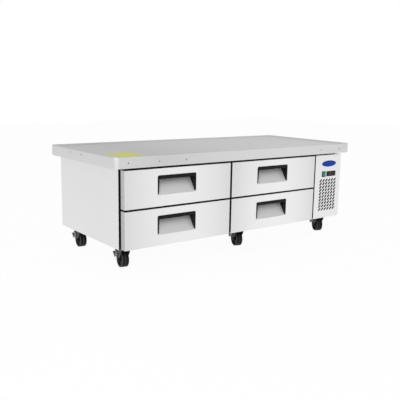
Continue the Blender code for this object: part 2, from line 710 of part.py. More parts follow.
def gasket_shape(front):
    """Magnetic gasket round the plug of a drawer front."""
    near = FRONT_PLANE + FRONT_THICKNESS + GAP
    far = near + GASKET_THICKNESS
    outer = ((front.left + GASKET_INSET, near, front.floor + GASKET_INSET),
             (front.right - GASKET_INSET, far, front.top - GASKET_INSET))
    inset = GASKET_INSET + GASKET_WIDTH
    inner = ((front.left + inset, near - OVERRUN, front.floor + inset),
             (front.right - inset, far + OVERRUN, front.top - inset))
    return carved(boxes(outer), cuts=[boxes(inner)])


def tray_shape(front):
    """Pan frame with two windows, a ledge round each for the pans' rims, and its runners."""
    left, right, _, top = opening(front)
    left, right, top = left + TRAY_SIDE_INSET, right - TRAY_SIDE_INSET, top - TRAY_HEADROOM
    floor, middle = top - TRAY_HEIGHT, (left + right) / 2
    body = boxes(((left, TRAY_FRONT, floor), (right, TRAY_REAR, top)))
    hollows, windows = [], []
    for start, end in ((left, middle - TRAY_SHEET / 2), (middle - TRAY_SHEET / 2, right)):
        start += TRAY_SHEET
        end -= 0 if end < middle else TRAY_SHEET
        hollows.append(((start, TRAY_FRONT + TRAY_SHEET, floor - OVERRUN),
                        (end, TRAY_REAR - TRAY_SHEET, top - TRAY_SHEET)))
        windows.append(((start + TRAY_LEDGE, TRAY_FRONT + TRAY_SHEET + TRAY_LEDGE, floor - OVERRUN),
                        (end - TRAY_LEDGE, TRAY_REAR - TRAY_SHEET - TRAY_LEDGE, top + OVERRUN)))
    level = runner_floor(front)
    runners = []
    for inner, outer in ((left + JOINT_OVERLAP, left - RUNNER_WIDTH),
                         (right - JOINT_OVERLAP, right + RUNNER_WIDTH)):
        low, high = sorted((inner, outer))
        runners.append(((low, FRAME_REAR + TRACK_POST, level),
                        (high, TRAY_REAR - TRAY_SHEET, level + RUNNER_HEIGHT)))
    return carved(body, [boxes(*runners)], [boxes(*hollows), boxes(*windows)])


def make_drawers():
    """Four drawers, each a front with its pull, its gasket and its tray on one sliding body."""
    for front in FRONTS:
        seat = Vector(((front.left + front.right) / 2, TRAY_FRONT, runner_floor(front)))
        slide = add_pivot(f"{front.name}_slide", Matrix.Translation(seat))
        home = Matrix.Translation(-seat)
        add_piece(f"{front.name}_front", front_shape(front), "stainless", slide, home)
        add_piece(f"{front.name}_pull", pull_shape(front), "black_plastic", slide, home)
        add_piece(f"{front.name}_gasket", gasket_shape(front), "gasket_rubber", slide, home)
        add_piece(f"{front.name}_tray", tray_shape(front), "aluminium", slide, home)


def control_corners():
    """Corners in X and Z of the display and of the switch frame on the grille panel."""
    total = SWITCH_FRAME_WIDTH + CONTROL_SPACING + DISPLAY_WIDTH
    left = (GRILLE_LEFT + CABINET_RIGHT - total) / 2 + CONTROL_SHIFT
    switch = (left, left + SWITCH_FRAME_WIDTH,
              CONTROL_LEVEL - SWITCH_FRAME_HEIGHT / 2, CONTROL_LEVEL + SWITCH_FRAME_HEIGHT / 2)
    start = left + SWITCH_FRAME_WIDTH + CONTROL_SPACING
    display = (start, start + DISPLAY_WIDTH,
               CONTROL_LEVEL - DISPLAY_HEIGHT / 2, CONTROL_LEVEL + DISPLAY_HEIGHT / 2)
    return switch, display


def slot_cuts():
    """Slanted air slots of the grille, in rows and columns."""
    middle = (GRILLE_LEFT + CABINET_RIGHT) / 2 + SLOT_FIELD_SHIFT
    bm = bmesh.new()
    for column in range(SLOT_COLUMNS):
        for row in range(SLOT_ROWS):
            x = middle + (column - (SLOT_COLUMNS - 1) / 2) * SLOT_PITCH_X
            z = SLOT_FIELD_FLOOR + row * SLOT_PITCH_Z
            turn = Matrix.Rotation(-SLOT_TILT, 4, "Y")
            size = Matrix.Diagonal((SLOT_LENGTH, 2 * OVERRUN, SLOT_WIDTH, 1))
            place = Matrix.Translation((x, FRONT_PLANE, z)) @ turn @ size
            bmesh.ops.create_cube(bm, size=1, matrix=place)
    return mesh_from(bm)


def make_grille_panel():
    """Folded front of the machine compartment with its slots and the cut-out for the controls."""
    low = (GRILLE_LEFT, FRONT_PLANE, FRONT_FLOOR)
    shell = boxes((low, (CABINET_RIGHT, FACE_PLANE - GAP, FRONTS_TOP)))
    inside = ((GRILLE_LEFT + PANEL_SHEET, FRONT_PLANE + PANEL_SHEET, FRONT_FLOOR + PANEL_SHEET),
              (CABINET_RIGHT - PANEL_SHEET, FACE_PLANE + OVERRUN, FRONTS_TOP - PANEL_SHEET))
    holes = []
    for left, right, floor, top in control_corners():
        holes.append(((left - GAP, FRONT_PLANE - OVERRUN, floor - GAP),
                      (right + GAP, FRONT_PLANE + OVERRUN, top + GAP)))
    panel = carved(shell, cuts=[boxes(inside), boxes(*holes), slot_cuts()])
    add_piece("grille_panel", panel, "stainless")


def make_controls():
    """Control box with the thermostat's face and the switch frame, and the rocker in its socket."""
    switch, display = control_corners()
    near, back = FRONT_PLANE - CONTROL_PROUD, FRONT_PLANE + PANEL_SHEET + GAP
    housing = boxes(((switch[0] - CONTROL_BOX_MARGIN, back, switch[2] - CONTROL_BOX_MARGIN),
                     (display[1] + CONTROL_BOX_MARGIN, back + CONTROL_BOX_DEPTH,
                      switch[3] + CONTROL_BOX_MARGIN)))
    faces = boxes(*(((left, near, floor), (right, back + JOINT_OVERLAP, top))
                    for left, right, floor, top in (switch, display)))
    socket = boxes(((switch[0] + SWITCH_FRAME_WALL, near - OVERRUN, switch[2] + SWITCH_FRAME_WALL),
                    (switch[1] - SWITCH_FRAME_WALL, near + SWITCH_SOCKET_DEPTH,
                     switch[3] - SWITCH_FRAME_WALL)))
    add_piece("control_box", carved(housing, [faces], [socket]), "black_plastic")
    half_width = SWITCH_FRAME_WIDTH / 2 - SWITCH_FRAME_WALL - GAP
    half_height = SWITCH_FRAME_HEIGHT / 2 - SWITCH_FRAME_WALL - ROCKER_SHORTER
    middle = Vector(((switch[0] + switch[1]) / 2, near + ROCKER_DEPTH / 2, (switch[2] + switch[3]) / 2))
    crown = -ROCKER_DEPTH / 2 - ROCKER_PROUD
    outline = ((crown, half_height), (crown + ROCKER_DISH, 0), (crown, -half_height),
               (0, -half_height), (ROCKER_DEPTH / 2, 0), (0, half_height))
    lean = Matrix.Translation(middle) @ Matrix.Rotation(ROCKER_TILT, 4, "X")
    add_piece("power_switch", plate(outline, -half_width, half_width), "switch_green", None, lean)


def fan_shape(radius):
    """Axial fan about Y: hub with a bore and pitched blades joined to it."""
    bore = SHAFT_RADIUS + SHAFT_CLEARANCE
    half = FAN_HUB_LENGTH / 2
    hub = turned([(bore, half), (FAN_HUB_RADIUS, half), (FAN_HUB_RADIUS, -half), (bore, -half)],
                 ROD_SIDES)
    hub.transform(Matrix.Rotation(math.radians(90), 4, "X"))
    reach = (FAN_HUB_RADIUS + bore) / 2
    blades = []
    for index in range(FAN_BLADES):
        blade = boxes(((reach, -FAN_BLADE_SHEET / 2, -FAN_BLADE_WIDTH / 2),
                       (radius, FAN_BLADE_SHEET / 2, FAN_BLADE_WIDTH / 2)))
        around = Matrix.Rotation(math.tau * index / FAN_BLADES, 4, "Y")
        blade.transform(around @ Matrix.Rotation(FAN_BLADE_PITCH, 4, "X"))
        blades.append(blade)
    return carved(hub, joins=blades)


def fin_cuts(left, right, face, floor, top):
    """Upright grooves between the fins on the front of a coil."""
    pitch = (right - left) / (FIN_COUNT + 1)
    shapes = []
    for index in range(FIN_COUNT):
        middle = left + (index + 1) * pitch
        shapes.append(((middle - FIN_GROOVE / 2, face - OVERRUN, floor + FIN_GROOVE),
                       (middle + FIN_GROOVE / 2, face + FIN_GROOVE_DEPTH, top - FIN_GROOVE)))
    return boxes(*shapes)


def make_condenser():
    """Condenser coil with its shroud and fan motor behind it, and the fan on the motor's shaft."""
    middle = (PARTITION_RIGHT + PANELS_RIGHT) / 2
    left, right = middle - CONDENSER_WIDTH / 2, middle + CONDENSER_WIDTH / 2
    floor, top = BASE_TOP + GAP, BASE_TOP + GAP + CONDENSER_HEIGHT
    face = FACE_PLANE + CONDENSER_SETBACK
    shroud, rear = face + CONDENSER_THICKNESS, face + CONDENSER_THICKNESS + SHROUD_DEPTH
    level = floor + CONDENSER_HEIGHT / 2
    body = boxes(((left, face, floor), (right, rear, top)))
    tunnel = rod(CONDENSER_FAN_RADIUS + FAN_TIP_CLEARANCE, (middle, shroud, level),
                 (middle, rear + OVERRUN, level), RING_SIDES)
    spoke = SPIDER_WIDTH / 2
    arms = [boxes(((left + WALL / 4, rear - JOINT_OVERLAP, level - spoke),
                   (right - WALL / 4, rear + SPIDER_THICKNESS, level + spoke))),
            boxes(((middle - spoke, rear - JOINT_OVERLAP, floor + WALL / 4),
                   (middle + spoke, rear + SPIDER_THICKNESS, top - WALL / 4)))]
    motor = rod(MOTOR_RADIUS, (middle, rear + SPIDER_THICKNESS / 2, level),
                (middle, rear + MOTOR_LENGTH, level))
    shaft = rod(SHAFT_RADIUS, (middle, shroud + SHROUD_DEPTH / 4, level),
                (middle, rear + SPIDER_THICKNESS, level))
    coil = carved(body, cuts=[tunnel, fin_cuts(left, right, face, floor, top)])
    add_piece("condenser", carved(coil, [*arms, motor, shaft]), "aluminium")
    hub = Matrix.Translation((middle, rear - GAP - FAN_HUB_LENGTH / 2 - JOINT_OVERLAP, level))
    add_piece("condenser_fan", fan_shape(CONDENSER_FAN_RADIUS), "black_plastic", None, hub)


def make_compressor():
    """Hermetic compressor: domed shell on a foot plate, with the stub of its suction line."""
    middle = (PARTITION_RIGHT + PANELS_RIGHT) / 2
    y = PANELS_REAR - COMPRESSOR_SETBACK
    floor = BASE_TOP + GAP
    shell_floor = floor + COMPRESSOR_FOOT_HEIGHT / 2
    profile = [(COMPRESSOR_RADIUS * out, COMPRESSOR_HEIGHT * up) for out, up in DOME_SHARES]
    shell = turned(profile, WHEEL_STEPS, closed=False)
    shell.transform(Matrix.Translation((middle, y, shell_floor)))
    half = COMPRESSOR_FOOT / 2
    foot = boxes(((middle - half, y - half, floor), (middle + half, y + half,
                                                    floor + COMPRESSOR_FOOT_HEIGHT)))
    crown = shell_floor + COMPRESSOR_HEIGHT
    stub = rod(COMPRESSOR_STUB_RADIUS, (middle, y + COMPRESSOR_RADIUS / 2, crown - COMPRESSOR_STUB_LENGTH),
               (middle, y + COMPRESSOR_RADIUS / 2, crown + COMPRESSOR_STUB_LENGTH))
    add_piece("compressor", carved(foot, [shell, stub]), "compressor_paint")


def make_evaporator():
    """Evaporator on the rear wall of the cold space, with its fan in a recess of its face."""
    middle = (COLD_RIGHT + opening(FRONTS[1])[0]) / 2
    left, right = middle - EVAPORATOR_WIDTH / 2, middle + EVAPORATOR_WIDTH / 2
    free = COLD_TOP - COLD_FLOOR - EVAPORATOR_HEIGHT
    floor = COLD_FLOOR + EVAPORATOR_LIFT_SHARE * free
    top, level = floor + EVAPORATOR_HEIGHT, floor + EVAPORATOR_HEIGHT / 2
    rear, face = COLD_REAR - GAP, EVAPORATOR_FACE
    bottom = face + EVAPORATOR_RECESS
    body = boxes(((left, face, floor), (right, rear, top)))
    recess = rod(EVAPORATOR_FAN_RADIUS + FAN_TIP_CLEARANCE, (middle, face - OVERRUN, level),
                 (middle, bottom, level), RING_SIDES)
    motor = rod(MOTOR_RADIUS, (middle, face + EVAPORATOR_RECESS / 2, level),
                (middle, bottom + JOINT_OVERLAP, level))
    shaft = rod(SHAFT_RADIUS, (middle, face, level), (middle, bottom, level))
    add_piece("evaporator", carved(carved(body, cuts=[recess]), [motor, shaft]), "aluminium")
    hub = Matrix.Translation((middle, face + EVAPORATOR_RECESS / 2 - GAP - FAN_HUB_LENGTH / 2, level))
    add_piece("evaporator_fan", fan_shape(EVAPORATOR_FAN_RADIUS), "black_plastic", None, hub)


def beside_wheel(shares):
    """Points given from the wheel's centre, as shares of its radius, in the caster's own (Y, Z)."""
    return [(TRAIL + rear * WHEEL_RADIUS, WHEEL_RADIUS + up * WHEEL_RADIUS) for rear, up in shares]


def caster_plate_shape():
    """Bolted top plate and the fixed half of the swivel's raceway, its axis on Z."""
    top = CABINET_FLOOR - GAP
    half_x, half_y = CASTER_PLATE_WIDTH / 2, CASTER_PLATE_LENGTH / 2
    sheet = boxes(((-half_x, -half_y, top - CASTER_PLATE_SHEET), (half_x, half_y, top)))
    race = rod(RACEWAY_RADIUS, (0, 0, SWIVEL_TOP + GAP), (0, 0, top - CASTER_PLATE_SHEET / 2), RING_SIDES)
    bolts = []
    for x in (CASTER_BOLT_INSET - half_x, half_x - CASTER_BOLT_INSET):
        for y in (CASTER_BOLT_INSET - half_y, half_y - CASTER_BOLT_INSET):
            bolts.append(rod(CASTER_BOLT_RADIUS, (x, y, top - OVERRUN), (x, y, top + OVERRUN), 8))
    return carved(sheet, [race], bolts)


def fork_shape():
    """Swivelling fork: crown, two legs, the axle with its nuts, and the brake's pivot pin."""
    outline = [(-CROWN_FRONT, CROWN_TOP), (CROWN_REAR, CROWN_TOP), *beside_wheel(FORK_LEG_SHARES)]
    legs = [plate(outline, LEG_INNER, LEG_OUTER), plate(outline, -LEG_OUTER, -LEG_INNER)]
    crown = boxes(((JOINT_OVERLAP - LEG_OUTER, JOINT_OVERLAP - CROWN_FRONT, CROWN_TOP - CROWN_THICKNESS),
                   (LEG_OUTER - JOINT_OVERLAP, CROWN_REAR - JOINT_OVERLAP, CROWN_TOP - JOINT_OVERLAP)))
    disc = rod(CROWN_RADIUS, (0, 0, CROWN_TOP - CROWN_THICKNESS / 2), (0, 0, SWIVEL_TOP), RING_SIDES)
    axle_end = LEG_OUTER + AXLE_NUT_LENGTH
    axle = rod(AXLE_RADIUS, (-axle_end, TRAIL, WHEEL_RADIUS), (axle_end, TRAIL, WHEEL_RADIUS))
    nuts = [rod(AXLE_NUT_RADIUS, (side * (LEG_OUTER - JOINT_OVERLAP), TRAIL, WHEEL_RADIUS),
                (side * (axle_end - JOINT_OVERLAP), TRAIL, WHEEL_RADIUS), 6) for side in (-1, 1)]
    y, z = beside_wheel([BRAKE_PIN_SHARES])[0]
    pins = [rod(BRAKE_PIN_RADIUS, (side * (LEG_OUTER - JOINT_OVERLAP), y, z),
                (side * (ARM_OUTER + JOINT_OVERLAP), y, z), 12) for side in (-1, 1)]
    return carved(crown, [*legs, disc, axle, *nuts, *pins])


def cross_plate(shares, half_width, sheet):
    """Slanting sheet across the caster between two points given from the wheel's centre."""
    (y0, z0), (y1, z1) = beside_wheel(shares)
    along = Vector((0, y1 - y0, z1 - z0))
    size = Matrix.Diagonal((2 * half_width, along.length, sheet, 1))
    turn = Matrix.Rotation(math.atan2(z1 - z0, y1 - y0), 4, "X")
    bm = bmesh.new()
    centre = Matrix.Translation((0, (y0 + y1) / 2, (z0 + z1) / 2))
    bmesh.ops.create_cube(bm, size=1, matrix=centre @ turn @ size)
    return mesh_from(bm)


def brake_shape():
    """Brake pedal: two arms outside the fork, joined by the toe plate and the release tab."""
    outline = beside_wheel(BRAKE_ARM_SHARES)
    right, left = plate(outline, ARM_INNER, ARM_OUTER), plate(outline, -ARM_OUTER, -ARM_INNER)
    half = ARM_OUTER - JOINT_OVERLAP
    toe = cross_plate(BRAKE_TOE_SHARES, half, BRAKE_TOE_SHEET)
    tab = cross_plate(BRAKE_TAB_SHARES, half, BRAKE_SHEET)
    y, z = beside_wheel([BRAKE_PIN_SHARES])[0]
    reach = ARM_OUTER + OVERRUN
    hole = rod(BRAKE_PIN_RADIUS + BRAKE_PIN_CLEARANCE, (-reach, y, z), (reach, y, z), 12)
    return carved(toe, [right, left, tab], [hole])


def wheel_shape():
    """Wheel with its tread about Z: bore, hub, dished web and chamfered tread."""
    bore = AXLE_RADIUS + AXLE_CLEARANCE
    half = WHEEL_WIDTH / 2
    upper = [(bore, half * WHEEL_SHARES[0][1])]
    upper += [(WHEEL_RADIUS * out, half * up) for out, up in WHEEL_SHARES]
    lower = [(radius, -height) for radius, height in reversed(upper)]
    return turned(upper + lower, WHEEL_STEPS)


def make_casters():
    """Six swivel casters: plate on the base, fork, wheel and brake pedal."""
    plate_mesh, fork_mesh = caster_plate_shape(), fork_shape()
    wheel_mesh, brake_mesh = wheel_shape(), brake_shape()
    pin_y, pin_z = beside_wheel([BRAKE_PIN_SHARES])[0]
    brake_mesh.transform(Matrix.Translation((0, -pin_y, -pin_z)))
    for caster in CASTERS:
        ground = Matrix.Translation((caster.x, caster.y, 0))
        add_piece(f"{caster.name}_plate", plate_mesh, "caster_paint", None, ground)
        turn = Matrix.Rotation(-caster.swivel, 4, "Z")
        swivel = add_pivot(f"{caster.name}_swivel", ground @ turn)
        add_piece(f"{caster.name}_fork", fork_mesh, "caster_paint", swivel)
        axle = Matrix.Translation((0, TRAIL, WHEEL_RADIUS)) @ Matrix.Rotation(math.radians(90), 4, "Y")
        add_piece(f"{caster.name}_wheel", wheel_mesh, "tread_rubber", swivel, axle)
        pin = Matrix.Translation((0, pin_y, pin_z))
        add_piece(f"{caster.name}_brake", brake_mesh, "zinc", swivel, pin)


clear_scene()
PIECES = bpy.data.collections.new("chef_base")
bpy.context.scene.collection.children.link(PIECES)
make_worktop()
make_outer_panels()
make_cold_box()
make_tracks()
make_drawers()
make_grille_panel()
make_controls()
make_condenser()
make_compressor()
make_evaporator()
make_casters()
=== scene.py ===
"""Looks of a refrigerated chef base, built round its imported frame.

Each sub-assembly is a class whose fields are its sizes in metres. Its methods work out surfaces as
numpy arrays, weld them into closed meshes and give them their finishes. X runs along the counter,
-Y out of its drawer fronts and Z up, as in the frame.
"""
import json
import logging
import math
from collections.abc import Iterable, Sequence
from dataclasses import dataclass
from enum import Enum

import bmesh
import bpy
import numpy as np
from mathutils import Matrix, Vector


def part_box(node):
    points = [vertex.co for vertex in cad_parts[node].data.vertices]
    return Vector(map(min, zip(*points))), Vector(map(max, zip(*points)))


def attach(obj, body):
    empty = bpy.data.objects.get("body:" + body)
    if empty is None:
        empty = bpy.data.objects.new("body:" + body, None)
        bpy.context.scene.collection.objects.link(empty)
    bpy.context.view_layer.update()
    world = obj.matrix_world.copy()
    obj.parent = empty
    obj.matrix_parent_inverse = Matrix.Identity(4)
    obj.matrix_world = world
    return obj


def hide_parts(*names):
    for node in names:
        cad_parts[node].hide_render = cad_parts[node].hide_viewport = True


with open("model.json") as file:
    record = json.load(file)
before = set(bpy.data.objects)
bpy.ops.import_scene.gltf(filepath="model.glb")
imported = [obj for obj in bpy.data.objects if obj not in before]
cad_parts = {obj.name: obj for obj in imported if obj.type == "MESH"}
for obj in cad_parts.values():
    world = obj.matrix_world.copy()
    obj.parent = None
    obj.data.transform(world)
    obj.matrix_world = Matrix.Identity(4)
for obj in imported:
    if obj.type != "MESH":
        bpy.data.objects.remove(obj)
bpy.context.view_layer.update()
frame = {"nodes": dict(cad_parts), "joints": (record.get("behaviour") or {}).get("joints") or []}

LOG = logging.getLogger("chef_base")

Array = np.ndarray
Triple = tuple[float, float, float]
Corners = tuple[Array, Array]

WELD = 0.000002  # points nearer to each other than this are one
HAIR = 0.0003  # clearance between pieces that lie against each other
SHARP = math.radians(34)  # edges that bend more than this stay sharp
CABINET = "cabinet"


class Axis(Enum):
    """Direction along which a plate has its thickness or a round piece its axis."""

    X = 0
    Y = 1
    Z = 2


def node_corners(node: str) -> Corners:
    """Lowest and highest corner of a frame node."""
    low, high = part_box(node)
    return np.array(low), np.array(high)


def node_outline(node: str, axis: Axis) -> Corners:
    """Lowest and highest corner of a frame node in the plane square to an axis."""
    low, high = node_corners(node)
    return across(low, axis), across(high, axis)


def joint_of(name: str) -> dict:
    """The frame's joint of that name."""
    return next(joint for joint in frame["joints"] if joint["name"] == name)


def across(corner: Array, axis: Axis) -> Array:
    """The two coordinates of a corner that lie in the plane square to an axis."""
    return np.delete(corner, axis.value)


def lift(outline: Array, depth: Array | float, axis: Axis) -> Array:
    """Outline points placed in space.

    Args:
        outline: Points (..., 2) in the plane square to the axis.
        depth: Their coordinate along the axis, one for all or one each.
        axis: The axis that the plane is square to.

    Returns:
        Points (..., 3).
    """
    return np.insert(outline, axis.value, depth, axis=-1)


def rounded_ring(low: Array, high: Array, radius: float | tuple[float, float], steps: int = 5,
                 marks_u: Iterable[float] = (), marks_v: Iterable[float] = ()) -> Array:
    """Rectangle with round corners, counter-clockwise from its lower right corner.

    A corner is its centre + radius * (cos a, sin a) over a quarter turn of a, and a mark is a
    further point at that share of a straight side.

    Args:
        low: Lowest corner in the plane.
        high: Highest corner in the plane.
        radius: Corner radius, or that of the lower and that of the upper corners.
        steps: Segments in each corner.
        marks_u: Shares along the lower and upper sides, rising.
        marks_v: Shares along the left and right sides, rising.

    Returns:
        Points (N, 2).
    """
    below, above = radius if isinstance(radius, tuple) else (radius, radius)
    radii = np.array([below, above, above, below])
    signs = np.array([(1, -1), (1, 1), (-1, 1), (-1, -1)])
    centres = np.where(signs > 0, high, low) - signs * radii[:, None]
    quarter = np.linspace(0, math.pi / 2, steps + 1)
    parts = []
    for corner in range(4):
        turn = quarter + (corner - 1) * math.pi / 2
        arc = centres[corner] + radii[corner] * np.stack([np.cos(turn), np.sin(turn)], -1)
        after = (corner + 1) % 4
        first = corner * math.pi / 2
        start = arc[-1]
        end = centres[after] + radii[after] * np.array([math.cos(first), math.sin(first)])
        marks = np.array(list(marks_v if corner % 2 == 0 else marks_u))[:, None]
        if corner in (1, 2):
            marks = 1 - marks[::-1]
        parts += [arc, start + (end - start) * marks]
    return np.concatenate(parts)


def edge_line(depth: float, front: float, back: float = 0.0, steps: int = 4) -> Array:
    """Line of (inset, depth) round a plate's edge: quarter circle, side, quarter circle.

    Args:
        depth: Thickness of the plate.
        front: Radius of the quarter circle at the front.
        back: Radius of the quarter circle at the back, or 0 for a square edge.
        steps: Segments in each quarter circle.

    Returns:
        Points (N, 2) from the front face to the back face.
    """
    a = np.linspace(0, math.pi / 2, steps + 1)
    near = np.stack([front * (1 - np.sin(a)), front * (1 - np.cos(a))], -1)
    far = np.stack([back * (1 - np.cos(a)), depth - back * (1 - np.sin(a))], -1)
    return np.vstack([near, far if back else far[:1]])


def sheet_section(line: Array, sheet: float) -> Array:
    """Closed section of bent sheet: along a line and back along it, moved sideways by the sheet.

    Each point moves along the mean of its neighbours' left-hand normals, over the cosine of half
    the bend, so that the sheet is equally thick round it.

    Args:
        line: Points (N, 2) of one face of the sheet.
        sheet: Thickness, to the left of the line, or to its right if it is negative.

    Returns:
        Points (2 N, 2).
    """
    along = np.diff(line, axis=0)
    along /= np.linalg.norm(along, axis=1, keepdims=True)
    before, after = np.vstack([along[:1], along]), np.vstack([along, along[-1:]])
    mean = before + after
    mean /= np.linalg.norm(mean, axis=1, keepdims=True)
    cosine = (mean * before).sum(axis=1, keepdims=True)
    side = np.stack([-mean[:, 1], mean[:, 0]], -1)
    return np.vstack([line, (line + side * sheet / cosine)[::-1]])


def turned(profile: Array | Sequence[tuple[float, float]], steps: int) -> Array:
    """Surface of revolution about X: (x, radius * cos a, radius * sin a) for a whole turn of a.

    Args:
        profile: Points (radius, x).
        steps: Segments round the axis.

    Returns:
        Points (rows of the profile, steps, 3).
    """
    radius, along = np.array(profile, float).T
    turn = np.linspace(0, 2 * math.pi, steps, endpoint=False)
    y, z = radius[:, None] * np.cos(turn), radius[:, None] * np.sin(turn)
    return np.stack([np.broadcast_to(along[:, None], y.shape), y, z], -1)


class Skin:
    """Patches of closed surfaces, welded into one mesh where their points meet."""

    def __init__(self) -> None:
        """Start with no patches."""
        self.points: list[Array] = []
        self.faces: list[list[int]] = []
        self.count = 0

    def _take(self, points: Array, faces: Array) -> None:
        """Keep points and the faces that join them.

        Args:
            points: Points (..., 3).
            faces: Their numbers (faces, corners), counted from the first of these points.
        """
        self.points.append(points.reshape(-1, 3))
        self.faces += (faces + self.count).tolist()
        self.count += len(self.points[-1])

    def patch(self, points: Array, wrap_rows: bool = False, wrap_columns: bool = False) -> None:
        """Add a grid of points (rows, columns, 3) with a quad in every cell.

        Args:
            points: The grid.
            wrap_rows: Whether the last row joins the first.
            wrap_columns: Whether the last column joins the first.
        """
        rows, columns = points.shape[:2]
        i, j = np.meshgrid(np.arange(rows if wrap_rows else rows - 1),
                           np.arange(columns if wrap_columns else columns - 1), indexing="ij")
        below, right = (i + 1) % rows, (j + 1) % columns
        quads = np.stack([i * columns + j, i * columns + right, below * columns + right,
                          below * columns + j], -1)
        self._take(points, quads.reshape(-1, 4))

    def cap(self, ring: Array) -> None:
        """Close a flat ring of points with one face."""
        self._take(ring, np.arange(len(ring))[None])

    def closed(self, rings: Array) -> None:
        """Add a stack of rings with a face over its first and its last.

        Args:
            rings: Points (rows, ring, 3).
        """
        self.patch(rings, wrap_columns=True)
        self.cap(rings[0])
        self.cap(rings[-1])

    def slab(self, low: Array, high: Array, axis: Axis, face: float, line: Array,
             toward: float = 1, corner: float | tuple[float, float] = 0.0) -> None:
        """Add a plate whose edge follows a line of (inset, depth).

        Args:
            low: Lowest corner of its outline.
            high: Highest corner of its outline.
            axis: Axis of its thickness.
            face: Where its front face is along that axis.
            line: The edge, from the front face to the back face.
            toward: +1 or -1, the way that its depth runs.
            corner: Radius of the outline's corners before the inset.
        """
        self.closed(rim(low, high, axis, face, line, toward, corner))

    def mesh(self, name: str) -> bpy.types.Mesh:
        """Weld the patches where they meet and turn their faces outwards.

        Args:
            name: What the mesh is called.

        Returns:
            The mesh.
        """
        mesh = bpy.data.meshes.new(name)
        mesh.from_pydata(np.concatenate(self.points), [], self.faces)
        bm = bmesh.new()
        bm.from_mesh(mesh)
        bmesh.ops.remove_doubles(bm, verts=bm.verts, dist=WELD)
        bmesh.ops.recalc_face_normals(bm, faces=bm.faces)
        bm.to_mesh(mesh)
        bm.free()
        return mesh


def rim(low: Array, high: Array, axis: Axis, face: float, line: Array, toward: float = 1,
        corner: float | tuple[float, float] = 0.0, steps: int = 5,
        marks_v: Iterable[float] = ()) -> Array:
    """Rings round a rectangle, one for each (inset, depth) of a line.

    A corner keeps its centre while the inset is less than its radius, so it turns as a bend does.

    Args:
        low: Lowest corner of the outline.
        high: Highest corner of the outline.
        axis: Axis of the depth.
        face: Where depth zero is along that axis.
        line: Points (inset, depth).
        toward: +1 or -1, the way that the depth runs.
        corner: Radius of the outline's corners, or of the lower and the upper ones.
        steps: Segments in each corner.
        marks_v: Shares of the left and right sides with a further point.

    Returns:
        Points (rows, ring, 3).
    """
    radii = np.array(corner if isinstance(corner, tuple) else (corner, corner))
    rings = []
    for inset, depth in line:
        remaining = tuple(np.maximum(radii - inset, 0))
        ring = rounded_ring(low + inset, high - inset, remaining, steps, marks_v=marks_v)
        rings.append(lift(ring, face + toward * depth, axis))
    return np.stack(rings)


HOLE_SIDE = 6  # segments along each side of the cell round a hole
HOLE_POINTS = 4 * HOLE_SIDE


@dataclass(frozen=True)
class Slot:
    """Obround air slot, by its length, width, tilt from level and the radius of its rolled lip."""

    length: float
    width: float
    tilt: float = 0.0
    lip: float = 0.0005

    def ring(self, centre: Array, grow: float) -> Array:
        """Outline of the slot grown by an amount, in step with the edge of the cell round it.

        Its two round ends are a point on the axis + radius * (cos a, sin a) over half a turn, with
        one more point halfway along each straight side.

        Args:
            centre: The middle of the cell.
            grow: How far outside the slot's own edge the outline lies.

        Returns:
            Points (HOLE_POINTS, 2).
        """
        radius = self.width / 2 + grow
        half = (self.length - self.width) / 2
        a = np.linspace(-math.pi / 2, math.pi / 2, HOLE_POINTS // 2 - 1)
        end = np.stack([half + radius * np.cos(a), radius * np.sin(a)], -1)
        outline = np.vstack([[(0, -radius)], end, [(0, radius)], -end])
        cosine, sine = math.cos(self.tilt), math.sin(self.tilt)
        tilted = outline @ np.array([(cosine, sine), (-sine, cosine)])
        shift = 0 if self.tilt else HOLE_SIDE // 2
        return centre + np.roll(tilted, -shift, axis=0)


@dataclass(frozen=True)
class Window:
    """Rectangular hole, by its width, height, corner radius and rolled lip."""

    width: float
    height: float
    corner: float = 0.002
    lip: float = 0.0004

    def ring(self, centre: Array, grow: float) -> Array:
        """Outline of the hole grown by an amount, in step with the edge of the cell round it.

        Args:
            centre: The middle of the cell.
            grow: How far outside the hole's own edge the outline lies.

        Returns:
            Points (HOLE_POINTS, 2).
        """
        half = np.array([self.width / 2 + grow, self.height / 2 + grow])
        outline = rounded_ring(centre - half, centre + half, self.corner + grow, HOLE_SIDE - 1)
        return np.roll(outline, -HOLE_SIDE // 2, axis=0)


